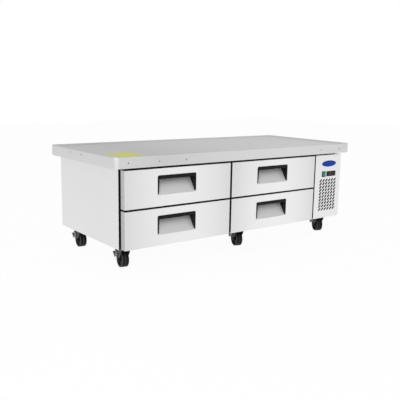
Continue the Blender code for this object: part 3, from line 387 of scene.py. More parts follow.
@dataclass
class Block:
    """Grid of cells with a hole in each, by the edges of its columns and rows.

    Where slanted holes need it, each cell's right side stands some fine steps above its left side,
    a fine step being a row's height / HOLE_SIDE, so that cells still share their points.
    """

    columns: Array
    rows: Array
    holes: Sequence[Slot | Window]
    shear: int = 0

    def step(self) -> float:
        """Height of a fine step."""
        return (self.rows[1] - self.rows[0]) / HOLE_SIDE

    def side(self, last: bool) -> Array:
        """Fine points up one side of the block.

        Args:
            last: Whether it is the right side.

        Returns:
            Points (N, 2).
        """
        count = (len(self.rows) - 1) * HOLE_SIDE + 1
        v = np.linspace(self.rows[0], self.rows[-1], count)
        climb = self.step() * self.shear
        return np.stack([np.full_like(v, self.columns[-1 if last else 0]),
                         v + (climb if last else -climb) / 2], -1)

    def level(self, v: float) -> Array:
        """Fine points along the block's lower or upper edge, which has a saw's teeth if sheared.

        A tooth climbs evenly over its column and drops straight down at the column's end.

        Args:
            v: The edge's mean height.

        Returns:
            Points (N, 2) from left to right.
        """
        shares = np.arange(HOLE_SIDE) / HOLE_SIDE
        climb = self.step() * self.shear
        along = self.columns[:-1, None] + np.diff(self.columns)[:, None] * shares
        slope = np.broadcast_to(v + climb * (shares - 0.5), along.shape)
        drop = v + climb / 2 - self.step() * np.arange(max(self.shear, 1))
        drops = np.broadcast_to(drop, (len(along), len(drop)))
        ends = np.broadcast_to(self.columns[1:, None], drops.shape)
        if not self.shear:
            line = np.stack([along, slope], -1).reshape(-1, 2)
            return np.vstack([line, (self.columns[-1], v)])
        teeth = np.stack([np.hstack([along, ends]), np.hstack([slope, drops])], -1).reshape(-1, 2)
        return teeth[:len(teeth) - self.shear + 1]

    def cell(self, column: int, row: int) -> tuple[Array, Array]:
        """Outline of one cell and its centre.

        Args:
            column: Its column, from the left.
            row: Its row, from below.

        Returns:
            Points (HOLE_POINTS, 2), and the centre.
        """
        corner = np.array([self.columns[column], self.rows[row]])
        far = np.array([self.columns[column + 1], self.rows[row + 1]])
        centre = (corner + far) / 2
        marks = np.arange(1, HOLE_SIDE) / HOLE_SIDE
        outline = rounded_ring(corner, far, 0.0, 0, marks_u=marks, marks_v=marks)
        share = (outline[:, 0] - centre[0]) / (far - corner)[0]
        return outline + np.outer(share, (0.0, self.step() * self.shear)), centre


def pierced(skin: Skin, low: Array, high: Array, axis: Axis, face: float, sheet: float,
            toward: float, blocks: Sequence[Block]) -> None:
    """Add the flat faces of a sheet with blocks of holes through it, and the holes' walls.

    Cells are rings from a rectangle to a hole; what is left of the sheet is bands and strips whose
    edges share the cells' points, so that nothing has to be cut.

    Args:
        skin: What the patches are added to.
        low: Lowest corner of the flat part.
        high: Highest corner of the flat part.
        axis: Axis of the sheet's thickness.
        face: Where its outer face is along that axis.
        sheet: Its thickness.
        toward: +1 or -1, the way from the outer face to the inner one.
        blocks: The blocks, from the lowest up.
    """
    flats: list[Array] = []
    below = np.array([(low[0], low[1]), (high[0], low[1])])
    for block in blocks:
        v0, v1 = block.rows[0], block.rows[-1]
        under = np.vstack([[(high[0], v0)], block.level(v0)[::-1], [(low[0], v0)]])
        flats.append(np.vstack([below, under]))
        flats.append(np.vstack([[(low[0], v0)], block.side(False), [(low[0], v1)]]))
        flats.append(np.vstack([[(high[0], v1)], block.side(True)[::-1], [(high[0], v0)]]))
        below = np.vstack([[(low[0], v1)], block.level(v1), [(high[0], v1)]])
    flats.append(np.vstack([below, [(high[0], high[1]), (low[0], high[1])]]))
    inner = face + toward * sheet
    for flat in flats:
        skin.cap(lift(flat, face, axis))
        skin.cap(lift(flat, inner, axis))
    for block in blocks:
        cells = [(column, row) for row in range(len(block.rows) - 1)
                 for column in range(len(block.columns) - 1)]
        for index, (column, row) in enumerate(cells):
            hole = block.holes[index % len(block.holes)]
            cell, centre = block.cell(column, row)
            lip = hole.ring(centre, hole.lip)
            throat = hole.ring(centre, 0.0)
            depth = face + toward * hole.lip
            skin.patch(np.stack([lift(cell, face, axis), lift(lip, face, axis),
                                 lift(throat, depth, axis), lift(throat, inner, axis),
                                 lift(cell, inner, axis)]), wrap_columns=True)


def bar(skin: Skin, outline: Array, axis: Axis, start: float, end: float) -> None:
    """Add a straight bar with a flat outline as its section."""
    skin.closed(np.stack([lift(outline, start, axis), lift(outline, end, axis)]))


class Signal:
    """Output of a shader node that takes part in sums; each sum adds its Math node."""

    def __init__(self, tree: bpy.types.NodeTree, socket: bpy.types.NodeSocket) -> None:
        """Keep the socket and the tree that it belongs to."""
        self.tree, self.socket = tree, socket

    def math(self, operation: str, first: "Signal | float", second: "Signal | float") -> "Signal":
        """Result of a Math node on two values.

        Args:
            operation: What the node does.
            first: Its first value, a signal or a number.
            second: Its second value.

        Returns:
            The result.
        """
        node = self.tree.nodes.new("ShaderNodeMath")
        node.operation = operation
        for socket, value in zip(node.inputs, (first, second)):
            if isinstance(value, Signal):
                self.tree.links.new(value.socket, socket)
            else:
                socket.default_value = value
        return Signal(self.tree, node.outputs[0])

    def __add__(self, other: "Signal | float") -> "Signal":
        """Sum."""
        return self.math("ADD", self, other)

    __radd__ = __add__

    def __sub__(self, other: "Signal | float") -> "Signal":
        """Difference."""
        return self.math("SUBTRACT", self, other)

    def __rsub__(self, other: float) -> "Signal":
        """A number less this value."""
        return self.math("SUBTRACT", other, self)

    def __mul__(self, other: "Signal | float") -> "Signal":
        """Product."""
        return self.math("MULTIPLY", self, other)

    __rmul__ = __mul__

    def at_most(self, other: "Signal | float") -> "Signal":
        """The lesser of two values."""
        return self.math("MINIMUM", self, other)


class Recipe:
    """Node tree of a material or a world, with one way of adding any node."""

    def __init__(self, tree: bpy.types.NodeTree) -> None:
        """Work on a tree."""
        self.tree = tree

    def node(self, kind: str, settings: dict | None = None, values: dict | None = None,
             out: int | str = 0) -> Signal:
        """Add a node.

        Args:
            kind: Its type.
            settings: Its own settings, such as a Math node's operation.
            values: Numbers, colours or signals for its sockets, by name or number.
            out: Which output to give.

        Returns:
            That output.
        """
        node = self.tree.nodes.new(kind)
        for key, value in (settings or {}).items():
            setattr(node, key, value)
        for key, value in (values or {}).items():
            if isinstance(value, Signal):
                self.tree.links.new(value.socket, node.inputs[key])
            else:
                node.inputs[key].default_value = value
        return Signal(self.tree, node.outputs[out])

    def place(self) -> Signal:
        """Object coordinates."""
        return self.node("ShaderNodeTexCoord", out="Object")

    def noise(self, scale: float, detail: float = 2.0, stretch: Triple = (1, 1, 1),
              rough: float = 0.5) -> Signal:
        """Noise from 0 to 1 over Object coordinates, drawn out by a scale for each axis."""
        where = self.node("ShaderNodeMapping", values={"Vector": self.place(), "Scale": stretch})
        return self.node("ShaderNodeTexNoise", {"noise_dimensions": "3D"},
                         {"Vector": where, "Scale": scale, "Detail": detail, "Roughness": rough})

    def ramp(self, value: Signal, low: float, high: float) -> Signal:
        """The value spread so that low becomes 0 and high becomes 1, held between them."""
        return self.node("ShaderNodeMapRange", {"clamp": True},
                         {"Value": value, "From Min": low, "From Max": high})

    def blend(self, share: Signal, first: Triple | Signal, second: Triple | Signal) -> Signal:
        """Colour between two colours."""
        ends = [value if isinstance(value, Signal) else (*value, 1) for value in (first, second)]
        return self.node("ShaderNodeMix", {"data_type": "RGBA"},
                         {0: share, 6: ends[0], 7: ends[1]}, out=2)

    def bump(self, height: Signal, strength: float, distance: float) -> Signal:
        """Normal bent by a height."""
        return self.node("ShaderNodeBump", {}, {"Strength": strength, "Distance": distance,
                                                 "Height": height})


@dataclass(frozen=True)
class Finish:
    """Surface of a piece: a slot name that is not used, a label, its colour and how rough and
    metallic.
    """

    slot: str
    label: str
    colour: Triple
    roughness: float
    metallic: float = 0.0
    coat: float = 0.0
    specular: float = 0.5
    glow: float = 0.0

    def material(self) -> bpy.types.Material:
        """The finish's material, made when it is first asked for.

        Returns:
            The material.
        """
        title = f"{self.label}_look"
        found = bpy.data.materials.get(title)
        if found:
            return found
        made = bpy.data.materials.new(title)
        made.use_nodes = True
        made.diffuse_color = (*self.colour, 1)
        shader = made.node_tree.nodes["Principled BSDF"]
        constants = {"Metallic": self.metallic, "Coat Weight": self.coat,
                     "Specular IOR Level": self.specular, "Emission Strength": self.glow}
        for socket, value in constants.items():
            shader.inputs[socket].default_value = value
        for socket, signal in self.surface(Recipe(made.node_tree)).items():
            made.node_tree.links.new(signal.socket, shader.inputs[socket])
        return made

    def tones(self, recipe: Recipe, share: Signal, dark: float, light: float) -> Signal:
        """The colour between two shades of it, each a share of its own brightness."""
        shades = (tuple(min(part * level, 1.0) for part in self.colour) for level in (dark, light))
        return recipe.blend(share, *shades)

    def surface(self, recipe: Recipe) -> dict[str, Signal]:
        """What varies over the surface, by the shader's socket."""
        raise NotImplementedError


@dataclass(frozen=True)
class PaintedSheen:
    """Painted sheen along X that comes back every span: palest in the middle of each span."""

    start: float
    span: float
    gain: float

    def over(self, recipe: Recipe) -> Signal:
        """Gain * h * (2 - h), where h climbs from 0 at the ends of a span to 1 at its middle.

        Args:
            recipe: The material's nodes.

        Returns:
            The painted brightening, from 0 to gain.
        """
        half = self.span / 2
        x = recipe.node("ShaderNodeSeparateXYZ", values={0: recipe.place()}, out="X")
        inward = recipe.node("ShaderNodeMath", {"operation": "PINGPONG"},
                             {0: x - self.start, 1: half})
        share = inward * (1 / half)
        return share * (2.0 - share) * self.gain


@dataclass(frozen=True)
class BrushedSteel(Finish):
    """Sheet brushed along one axis: fine drawn-out streaks, broad cloudy scuffs, and any painted
    sheen.
    """

    grain: Axis = Axis.X
    streak: float = 0.10
    painted_sheen: PaintedSheen | None = None

    def surface(self, recipe: Recipe) -> dict[str, Signal]:
        """Streaks and clouds in the colour and the roughness, any painted sheen, and a very small
        bump.

        Args:
            recipe: The material's nodes.

        Returns:
            What varies over the surface, by the shader's socket.
        """
        drawn, cloudy = (tuple(along if axis is self.grain else square for axis in Axis)
                         for along, square in ((0.012, 1.0), (1.0, 0.3)))
        fine = recipe.noise(520, 3, drawn, 0.6)
        broad = recipe.noise(2.8, 2, cloudy)
        smudge = recipe.ramp(recipe.noise(9, 5, rough=0.62), 0.56, 0.74)
        tone = fine * 0.4 + recipe.ramp(broad, 0.28, 0.72) * 0.6
        # Painted sheen: the colour is made paler where a reflection would fall.
        if self.painted_sheen:
            tone = tone * (1 - self.painted_sheen.gain) + self.painted_sheen.over(recipe)
        rough = (fine - 0.5) * 0.16 + (broad - 0.5) * 0.10 + smudge * 0.05 + self.roughness
        return {"Base Color": self.tones(recipe, tone, 1 - self.streak, 1 + self.streak),
                "Roughness": rough, "Normal": recipe.bump(fine, 0.10, 0.0004)}


@dataclass(frozen=True)
class Galvanised(Finish):
    """Zinc-dipped sheet with its spangle: flat grains of slightly different greys."""

    spangle: float = 95.0

    def surface(self, recipe: Recipe) -> dict[str, Signal]:
        """Grain by grain tone, with a dusty cloud over it.

        Args:
            recipe: The material's nodes.

        Returns:
            What varies over the surface, by the shader's socket.
        """
        cells = recipe.node("ShaderNodeTexVoronoi", {"feature": "F1"},
                            {"Vector": recipe.place(), "Scale": self.spangle}, out="Color")
        grain = recipe.node("ShaderNodeSeparateColor", values={"Color": cells})
        dust_and_highlight = recipe.noise(14, 4)
        rough = (grain - 0.5) * 0.18 + (dust_and_highlight - 0.5) * 0.12 + self.roughness
        return {"Base Color": self.tones(recipe, grain * 0.6 + dust_and_highlight * 0.4, 0.84, 1.14),
                "Roughness": rough, "Normal": recipe.bump(dust_and_highlight, 0.08, 0.0006)}


@dataclass(frozen=True)
class Plated(Finish):
    """Bright zinc plating on pressed steel, mottled and a little stained."""

    def surface(self, recipe: Recipe) -> dict[str, Signal]:
        """Mottle in the colour and roughness, with fine pitting.

        Args:
            recipe: The material's nodes.

        Returns:
            What varies over the surface, by the shader's socket.
        """
        mottle, pits = recipe.noise(60, 4), recipe.noise(900, 2)
        return {"Base Color": self.tones(recipe, recipe.ramp(mottle, 0.3, 0.7), 0.72, 1.15),
                "Roughness": (mottle - 0.5) * 0.3 + self.roughness,
                "Normal": recipe.bump(pits, 0.12, 0.0003)}


@dataclass(frozen=True)
class Moulded(Finish):
    """Moulded plastic or rubber: a fine spark-eroded grain, and rubbed, paler patches."""

    pitch: float = 1400.0
    rubbed: float = 1.8
    depth: float = 0.0003

    def surface(self, recipe: Recipe) -> dict[str, Signal]:
        """Grain as a bump, and rubbing as a paler, smoother patch.

        Args:
            recipe: The material's nodes.

        Returns:
            What varies over the surface, by the shader's socket.
        """
        grain, worn = recipe.noise(self.pitch, 2), recipe.ramp(recipe.noise(22, 4), 0.42, 0.78)
        return {"Base Color": self.tones(recipe, worn, 1.0, self.rubbed),
                "Roughness": (grain - 0.5) * 0.12 - worn * 0.10 + self.roughness,
                "Normal": recipe.bump(grain, 0.25, self.depth)}


@dataclass(frozen=True)
class TreadRubber(Moulded):
    """Wheel rubber, greyed where the mesh's own attribute says so: painted highlight and dust."""

    dust_and_highlight: Triple = (0.11, 0.108, 0.104)

    def surface(self, recipe: Recipe) -> dict[str, Signal]:
        """The moulding's surface, greyed by the painted highlight attribute and a patchy noise of
        dust.

        Args:
            recipe: The material's nodes.

        Returns:
            What varies over the surface, by the shader's socket.
        """
        made = super().surface(recipe)
        wear = recipe.node("ShaderNodeAttribute", {"attribute_name": "wear"}, out="Fac")
        patches = recipe.ramp(recipe.noise(45, 3), 0.25, 0.6)
        share = wear * (patches * 0.5 + 0.5)
        return made | {"Base Color": recipe.blend(share, made["Base Color"], self.dust_and_highlight)}


@dataclass(frozen=True)
class Foam(Finish):
    """Rigid foam: small closed cells in a browned skin."""

    def surface(self, recipe: Recipe) -> dict[str, Signal]:
        """Cells as a bump, with uneven browning.

        Args:
            recipe: The material's nodes.

        Returns:
            What varies over the surface, by the shader's socket.
        """
        cells = recipe.node("ShaderNodeTexVoronoi", {"feature": "F1"},
                            {"Vector": recipe.place(), "Scale": 420.0})
        brown = recipe.ramp(recipe.noise(7, 4), 0.3, 0.7)
        return {"Base Color": self.tones(recipe, brown, 0.8, 1.08),
                "Roughness": cells * 0.2 + self.roughness,
                "Normal": recipe.bump(cells, 0.5, 0.001)}


@dataclass(frozen=True)
class Gloss(Finish):
    """Glossy moulding or printed film, hardly marked, that may glow a little."""

    def surface(self, recipe: Recipe) -> dict[str, Signal]:
        """Faint haze and fine scratches in the roughness, and the colour as any glow.

        Args:
            recipe: The material's nodes.

        Returns:
            What varies over the surface, by the shader's socket.
        """
        haze, scratch = recipe.noise(35, 4), recipe.noise(700, 2, (1, 1, 0.05))
        colour = self.tones(recipe, haze, 0.93, 1.07)
        rough = (haze - 0.5) * 0.08 + (scratch - 0.5) * 0.08 + self.roughness
        made = {"Base Color": colour, "Roughness": rough,
                "Normal": recipe.bump(scratch, 0.03, 0.0002)}
        return made | ({"Emission Color": colour} if self.glow else {})


def front_painted_sheen() -> PaintedSheen:
    """Painted sheen, palest in the middle of each bank of drawer fronts, in place of a reflection.
    """
    left, right = (node_corners(f"drawer_lower_{side}_front")[0][0] for side in ("left", "right"))
    return PaintedSheen(left, right - left, 0.75)


# The worktop's painted sheen makes it palest a little to the right of its middle.
WORKTOP_STEEL = BrushedSteel("stainless_worktop", "worktop_steel", (0.69, 0.69, 0.692), 0.36, 1.0,
                             streak=0.085, painted_sheen=PaintedSheen(-0.65, 1.9, 0.8))
PANEL_STEEL = BrushedSteel("stainless_panel", "panel_steel", (0.80, 0.80, 0.802), 0.38, 1.0,
                           grain=Axis.Y, streak=0.03)
TRAY_STEEL = BrushedSteel("stainless_panel", "tray_steel", (0.66, 0.665, 0.67), 0.34, 1.0)
FRONT_STEEL = BrushedSteel("stainless_front", "front_steel", (0.823, 0.823, 0.825), 0.38, 1.0,
                           streak=0.13, painted_sheen=front_painted_sheen())
# Painted shade: a darker, rougher and less metallic copy of the front steel inside the recess.
SHADED_RECESS_STEEL = BrushedSteel("stainless_front", "recess_steel", (0.635, 0.635, 0.637), 0.5, 0.3,
                            streak=0.03)
# Painted shade: a darker copy of the front steel on the return at the counter's left end.
SHADED_RETURN_STEEL = BrushedSteel("stainless_front", "return_steel", (0.51, 0.51, 0.512), 0.34, 1.0,
                            grain=Axis.Z)
# Painted shadow: a near-black copy of the steel on the returns that face a seam.
SEAM_SHADOW_STEEL = BrushedSteel("stainless_front", "seam_steel", (0.06, 0.06, 0.061), 0.6, 0.6,
                          grain=Axis.Z)
GRILLE_STEEL = BrushedSteel("stainless_grille", "grille_steel", (0.86, 0.86, 0.862), 0.40, 1.0,
                            streak=0.02)
ZINC_SHEET = Galvanised("galvanised", "zinc_sheet", (0.55, 0.56, 0.57), 0.45, 0.85)
LINER_METAL = BrushedSteel("aluminium", "liner_metal", (0.70, 0.71, 0.72), 0.42, 0.95,
                           grain=Axis.Y)
COIL_METAL = BrushedSteel("aluminium", "coil_metal", (0.50, 0.51, 0.52), 0.45, 0.9, grain=Axis.Z)
FOAM = Foam("foam", "foam", (0.80, 0.70, 0.46), 0.75)
BLACK_MOULDING = Moulded("black_plastic", "black_moulding", (0.007, 0.007, 0.0075), 0.45,
                         specular=0.2)
PULL_MOULDING = Moulded("black_plastic", "pull_moulding", (0.005, 0.005, 0.0053), 0.42,
                        specular=0.15, rubbed=1.5)
# Painted shade: a black sheet behind the grille's slots stands in for the dark inside.
SHADE_SCREEN_MESH = Moulded("black_plastic", "screen_mesh", (0.004, 0.004, 0.0042), 0.7,
                      specular=0.15, pitch=600)
GASKET_RUBBER = Moulded("gasket_rubber", "gasket_rubber", (0.009, 0.009, 0.009), 0.62,
                        specular=0.3, pitch=900)
TREAD_RUBBER = TreadRubber("tread_rubber", "tread_rubber", (0.007, 0.007, 0.0073), 0.55,
                           specular=0.15, pitch=700, rubbed=2.2)
CASTER_PAINT = Moulded("caster_paint", "caster_paint", (0.006, 0.006, 0.0065), 0.4,
                       specular=0.2, pitch=420)
ZINC_PLATE = Plated("zinc", "zinc_plate", (0.30, 0.302, 0.305), 0.34, 0.95)
BRAKE_PLATE = Plated("zinc", "brake_plate", (0.15, 0.152, 0.155), 0.38, 0.9)
COMPRESSOR_PAINT = Moulded("compressor_paint", "compressor_paint", (0.018, 0.018, 0.02), 0.3,
                           pitch=260, coat=0.4)
SWITCH_GREEN = Gloss("switch_green", "switch_green", (0.0, 0.24, 0.12), 0.35, specular=0.15,
                     glow=0.12)
SWITCH_MARK = Gloss("switch_green", "switch_mark", (0.55, 0.68, 0.62), 0.4)
DISPLAY_GLASS = Gloss("display_window", "display_glass", (0.007, 0.0073, 0.008), 0.16,
                      specular=0.2)
DISPLAY_DIGIT = Gloss("display_window", "display_digit", (0.17, 0.18, 0.175), 0.4)
KEY_FILM = Gloss("display_window", "key_film", (0.045, 0.047, 0.049), 0.4, specular=0.2)
PLATE_BLUE = Gloss("nameplate_blue", "plate_blue", (0.003, 0.042, 0.36), 0.3, specular=0.15)
PLATE_RIM = BrushedSteel("stainless_grille", "plate_rim", (0.86, 0.87, 0.88), 0.25, 1.0)
YELLOW_FILM = Gloss("film_yellow", "yellow_film", (0.60, 0.64, 0.04), 0.40)


def link(name: str, data: bpy.types.ID) -> bpy.types.Object:
    """Put a mesh, a lamp or a camera in the scene as an object.

    Args:
        name: The object's name.
        data: What it holds.

    Returns:
        The object.
    """
    thing = bpy.data.objects.new(name, data)
    bpy.context.scene.collection.objects.link(thing)
    return thing


def add_piece(name: str, skin: Skin, finish: Finish, body: str = CABINET,
              replaces: Sequence[str] = (), bevel: float = 0.0) -> bpy.types.Mesh:
    """Put a closed skin in the scene as one piece that rides on a body.

    Args:
        name: The piece's name.
        skin: Its surface, in place.
        finish: Its finish.
        body: The frame body that carries it.
        replaces: The frame nodes that it stands for.
        bevel: Width by which its sharp edges are rounded.

    Returns:
        Its mesh.
    """
    mesh = skin.mesh(name)
    mesh.materials.append(finish.material())
    piece = link(name, mesh)
    soften(piece, bevel)
    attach(piece, body)
    if replaces:
        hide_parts(*replaces)
    LOG.info("%s: %d faces on %s", name, len(mesh.polygons), body)
    return mesh


def soften(piece: bpy.types.Object, bevel: float) -> None:
    """Round the sharp edges of a piece, and let its flat faces set the shading.

    Args:
        piece: The piece.
        bevel: Width of the rounding, or 0 to keep the edges sharp.
    """
    if bevel:
        rounding = piece.modifiers.new("rounding", "BEVEL")
        rounding.width = bevel
        rounding.segments = 3
        rounding.limit_method = "ANGLE"
        rounding.angle_limit = SHARP
    else:
        piece.data.set_sharp_from_angle(angle=SHARP)
    flats = piece.modifiers.new("flats", "WEIGHTED_NORMAL")
    flats.keep_sharp = True


def dress(node: str, finish: Finish, bevel: float = 0.0) -> None:
    """Give a frame node that stays in view its finish.

    Args:
        node: The node.
        finish: Its finish.
        bevel: Width by which its sharp edges are rounded.
    """
    thing = frame["nodes"][node]
    thing.data.materials.clear()
    thing.data.materials.append(finish.material())
    if bevel:
        weld = thing.modifiers.new("weld", "WELD")
        weld.merge_threshold = WELD * 5
        soften(thing, bevel)
    LOG.info("%s: frame node dressed", node)


def read_places(items: bpy.types.bpy_prop_collection, key: str) -> Array:
    """X, Y and Z of a mesh's vertices or faces.

    Args:
        items: The vertices or the faces.
        key: Their property to read, "co" or "center".

    Returns:
        Values (3, N).
    """
    places = np.empty(len(items) * 3)
    items.foreach_get(key, places)
    return places.reshape(-1, 3).T


def mark_faces(mesh: bpy.types.Mesh, marks: Array, finishes: Sequence[Finish]) -> None:
    """Give some faces of a piece finishes of their own.

    Args:
        mesh: The piece's mesh.
        marks: For each face 0 for the piece's finish, 1 for the first of the others, and so on.
        finishes: The other finishes.
    """
    for finish in finishes:
        mesh.materials.append(finish.material())
    mesh.polygons.foreach_set("material_index", marks.astype(np.int32))


@dataclass
class Worktop:
    """Worktop skin with its raised rim and turned-under edge, its screws and its strip of film."""

    corner: float = 0.028
    sheet: float = 0.002
    crest: float = 0.0045
    slope: float = 0.014
    slope_steps: int = 8
    rim_height: float = 0.008
    round_over: float = 0.0042
    lower_bend: float = 0.003
    flange: float = 0.078
    screw_radius: float = 0.0045
    screw_height: float = 0.0018
    front_screws: tuple[float, ...] = (-0.878, -0.678, -0.493, 0.664, 0.855)
    front_drop: float = 0.036
    side_screws: tuple[float, ...] = (-0.021, 0.127)
    side_drop: float = 0.022
    film_inset: tuple[float, float] = (0.078, 0.040)
    film_size: tuple[float, float] = (0.170, 0.235)
    film_sheet: float = 0.0003
    film_corner: float = 0.003

    def build(self) -> None:
        """Make the skin, its screws and the film."""
        self.low, self.high = node_corners("worktop")
        section = sheet_section(self.section(self.high[2] - self.low[2]), self.sheet)
        skin = Skin()
        skin.closed(rim(self.low[:2], self.high[:2], Axis.Z, self.high[2], section,
                        corner=self.corner, steps=10))
        add_piece("worktop_skin", skin, WORKTOP_STEEL, replaces=["worktop"])
        self.screws()
        self.film()
        dress("worktop_core", FOAM)

    def section(self, height: float) -> Array:
        """Line from the sunk surface over the rim and down under the edge.

        The rim rises as (1 - cos) / 2 over the slope, so that it meets the surface and its crest
        without a crease. The bends are quarter circles.

        Args:
            height: Height of the edge.

        Returns:
            Points (inset, height over the rim's top).
        """
        share = np.linspace(0, 1, self.slope_steps + 1)
        rise = self.rim_height * (1 - (1 - np.cos(math.pi * share)) / 2)
        inset = self.round_over + self.crest + self.slope * (1 - share)
        slope = np.stack([inset, -rise], -1)
        a = np.linspace(0, math.pi / 2, 6)
        over = self.round_over * np.stack([1 - np.sin(a), np.cos(a) - 1], -1)
        under = self.lower_bend * np.stack([1 - np.cos(a), 1 - np.sin(a)], -1)
        return np.vstack([slope, over, under - (0, height), [(self.flange, -height)]])

    def screws(self) -> None:
        """Low domed screws that fix the edge, each turned, with a drive socket in its head."""
        radius, height, sunk, skirt = self.screw_radius, self.screw_height, 0.001, 0.0003
        profile = [(0, -sunk), (radius, -sunk), (radius, skirt), (radius * 0.9, height * 0.55),
                   (radius * 0.62, height * 0.88), (radius * 0.36, height),
                   (radius * 0.28, height * 0.4), (0, height * 0.35)]
        out, one, other = np.moveaxis(turned(profile, 20), -1, 0)
        skin = Skin()
        for x in self.front_screws:
            level = self.high[2] - self.front_drop
            skin.patch(np.stack([one + x, self.low[1] - out, other + level], -1),
                       wrap_columns=True)
        for y in self.side_screws:
            level = self.high[2] - self.side_drop
            skin.patch(np.stack([self.low[0] - out, one + y, other + level], -1),
                       wrap_columns=True)
        add_piece("edge_screws", skin, ZINC_PLATE)

    def film(self) -> None:
        """Blank strip of adhesive film on the work surface, near its front left corner."""
        low = self.low[:2] + self.film_inset
        top = self.high[2] - self.rim_height + self.film_sheet
        edge = edge_line(self.film_sheet, self.film_sheet / 3, steps=2)
        skin = Skin()
        skin.slab(low, low + self.film_size, Axis.Z, top, edge, toward=-1,
                  corner=self.film_corner)
        add_piece("film_strip", skin, YELLOW_FILM)


@dataclass
class Casework:
    """End panels, back panel with its cord gland, and the dressed nodes inside them."""

    fold: float = 0.0014
    back_fold: float = 0.0013
    lap: float = 0.0002
    sheet: float = 0.001
    vent: Slot = Slot(0.150, 0.008, 0.0, 0.0006)
    vent_half: float = 0.085
    vent_floor: float = 0.182
    vent_pitch: float = 0.024
    vent_rows: int = 8
    vent_shift: float = 0.010
    gland_inset: float = 0.045
    gland_rise: float = 0.026
    gland_radius: float = 0.012
    gland_bore: float = 0.0045
    gland_proud: float = 0.004
    gland_inner: float = 0.006

    def build(self) -> None:
        """Make the panels and dress the nodes that keep their frame shape."""
        low, high = node_corners("right_end_panel")
        self.end_panel("left_end_panel", -1, [])
        self.end_panel("right_end_panel", 1, [self.vents(low[1], high[1])])
        self.back_panel()
        dress("base_pan", ZINC_SHEET, 0.0006)
        # Painted shade: the face frame is finished black so that the seams round the fronts read
        # dark.
        dress("face_frame", BLACK_MOULDING, 0.0012)
        dress("inner_liner", LINER_METAL, 0.0004)
        dress("insulation", FOAM)
        for tracks in ("left_tracks", "right_tracks", "centre_tracks"):
            dress(tracks, ZINC_SHEET, 0.0005)

    def vents(self, low: float, high: float) -> Block:
        """Column of long vents of the machine compartment.

        Args:
            low: Where the room for them starts along the panel.
            high: Where it ends; they stand in the middle of it.

        Returns:
            Their cells.
        """
        middle = (low + high) / 2
        columns = np.array([middle - self.vent_half, middle + self.vent_half])
        rows = self.vent_floor + self.vent_pitch * np.arange(self.vent_rows + 1)
        return Block(columns, rows, [self.vent])

    def end_panel(self, node: str, side: int, blocks: Sequence[Block]) -> None:
        """One end panel, its outer face on the node's.

        Args:
            node: The node that it replaces.
            side: -1 for the left end, +1 for the right.
            blocks: Holes through its face.
        """
        face = node_corners(node)[side > 0][0]
        skin = folded_panel(*node_outline(node, Axis.X), Axis.X, face, -side, self.fold,
                            self.fold + self.lap, self.sheet, blocks)
        add_piece(node + "_sheet", skin, PANEL_STEEL, replaces=[node])

    def back_panel(self) -> None:
        """Back panel with the vents of the machine compartment, and the gland of the cord."""
        low, high = node_corners("back_panel")
        rear = high[1] - self.gland_proud
        vents = self.vents(node_corners("grille_panel")[0][0] + self.vent_shift, high[0])
        skin = folded_panel(*node_outline("back_panel", Axis.Y), Axis.Y, rear, -1, self.back_fold,
                            self.back_fold + self.lap, self.sheet, [vents])
        add_piece("back_panel_sheet", skin, ZINC_SHEET, replaces=["back_panel"])
        self.gland(np.array([high[0] - self.gland_inset, rear, low[2] + self.gland_rise]))

    def gland(self, place: Array) -> None:
        """Cord gland: a turned black bush with a dished mouth.

        Args:
            place: The middle of its foot, on the back panel's outer face.
        """
        outer, bore, proud = self.gland_radius, self.gland_bore, self.gland_proud
        profile = [(bore, -self.gland_inner), (outer * 0.86, -self.gland_inner),
                   (outer * 0.86, 0.0), (outer, 0.0), (outer, proud * 0.55),
                   (outer * 0.84, proud), (outer * 0.62, proud), (bore * 1.15, proud * 0.45),
                   (bore, 0.0)]
        out, x, z = np.moveaxis(turned(profile, 32), -1, 0)
        skin = Skin()
        skin.patch(np.stack([x, out, z], -1) + place, wrap_rows=True, wrap_columns=True)
        add_piece("cord_gland", skin, BLACK_MOULDING)


def folded_panel(low: Array, high: Array, axis: Axis, face: float, toward: float, fold: float,
                 depth: float, sheet: float, blocks: Sequence[Block]) -> Skin:
    """Closed surface of a sheet with its edges folded back and blocks of holes through its face.

    Args:
        low: Lowest corner of its outline.
        high: Highest corner of its outline.
        axis: Axis of its thickness.
        face: Where its outer face is along that axis.
        toward: +1 or -1, the way that it is folded.
        fold: Outer radius of the folds.
        depth: Depth of the folded edges.
        sheet: Thickness.
        blocks: The blocks of holes, from the lowest up.

    Returns:
        The surface.
    """
    flat_low, flat_high = low + fold, high - fold
    levels = np.array([edge for block in blocks for edge in (block.rows[0], block.rows[-1])])
    marks = (levels - flat_low[1]) / (flat_high[1] - flat_low[1])
    section = sheet_section(edge_line(depth, fold), -sheet)
    skin = Skin()
    rings = rim(low, high, axis, face, section, toward, fold, steps=4, marks_v=marks)
    skin.patch(rings, wrap_columns=True)
    if blocks:
        pierced(skin, flat_low, flat_high, axis, face, sheet, toward, blocks)
    else:
        skin.cap(rings[0])
        skin.cap(rings[-1])
    return skin


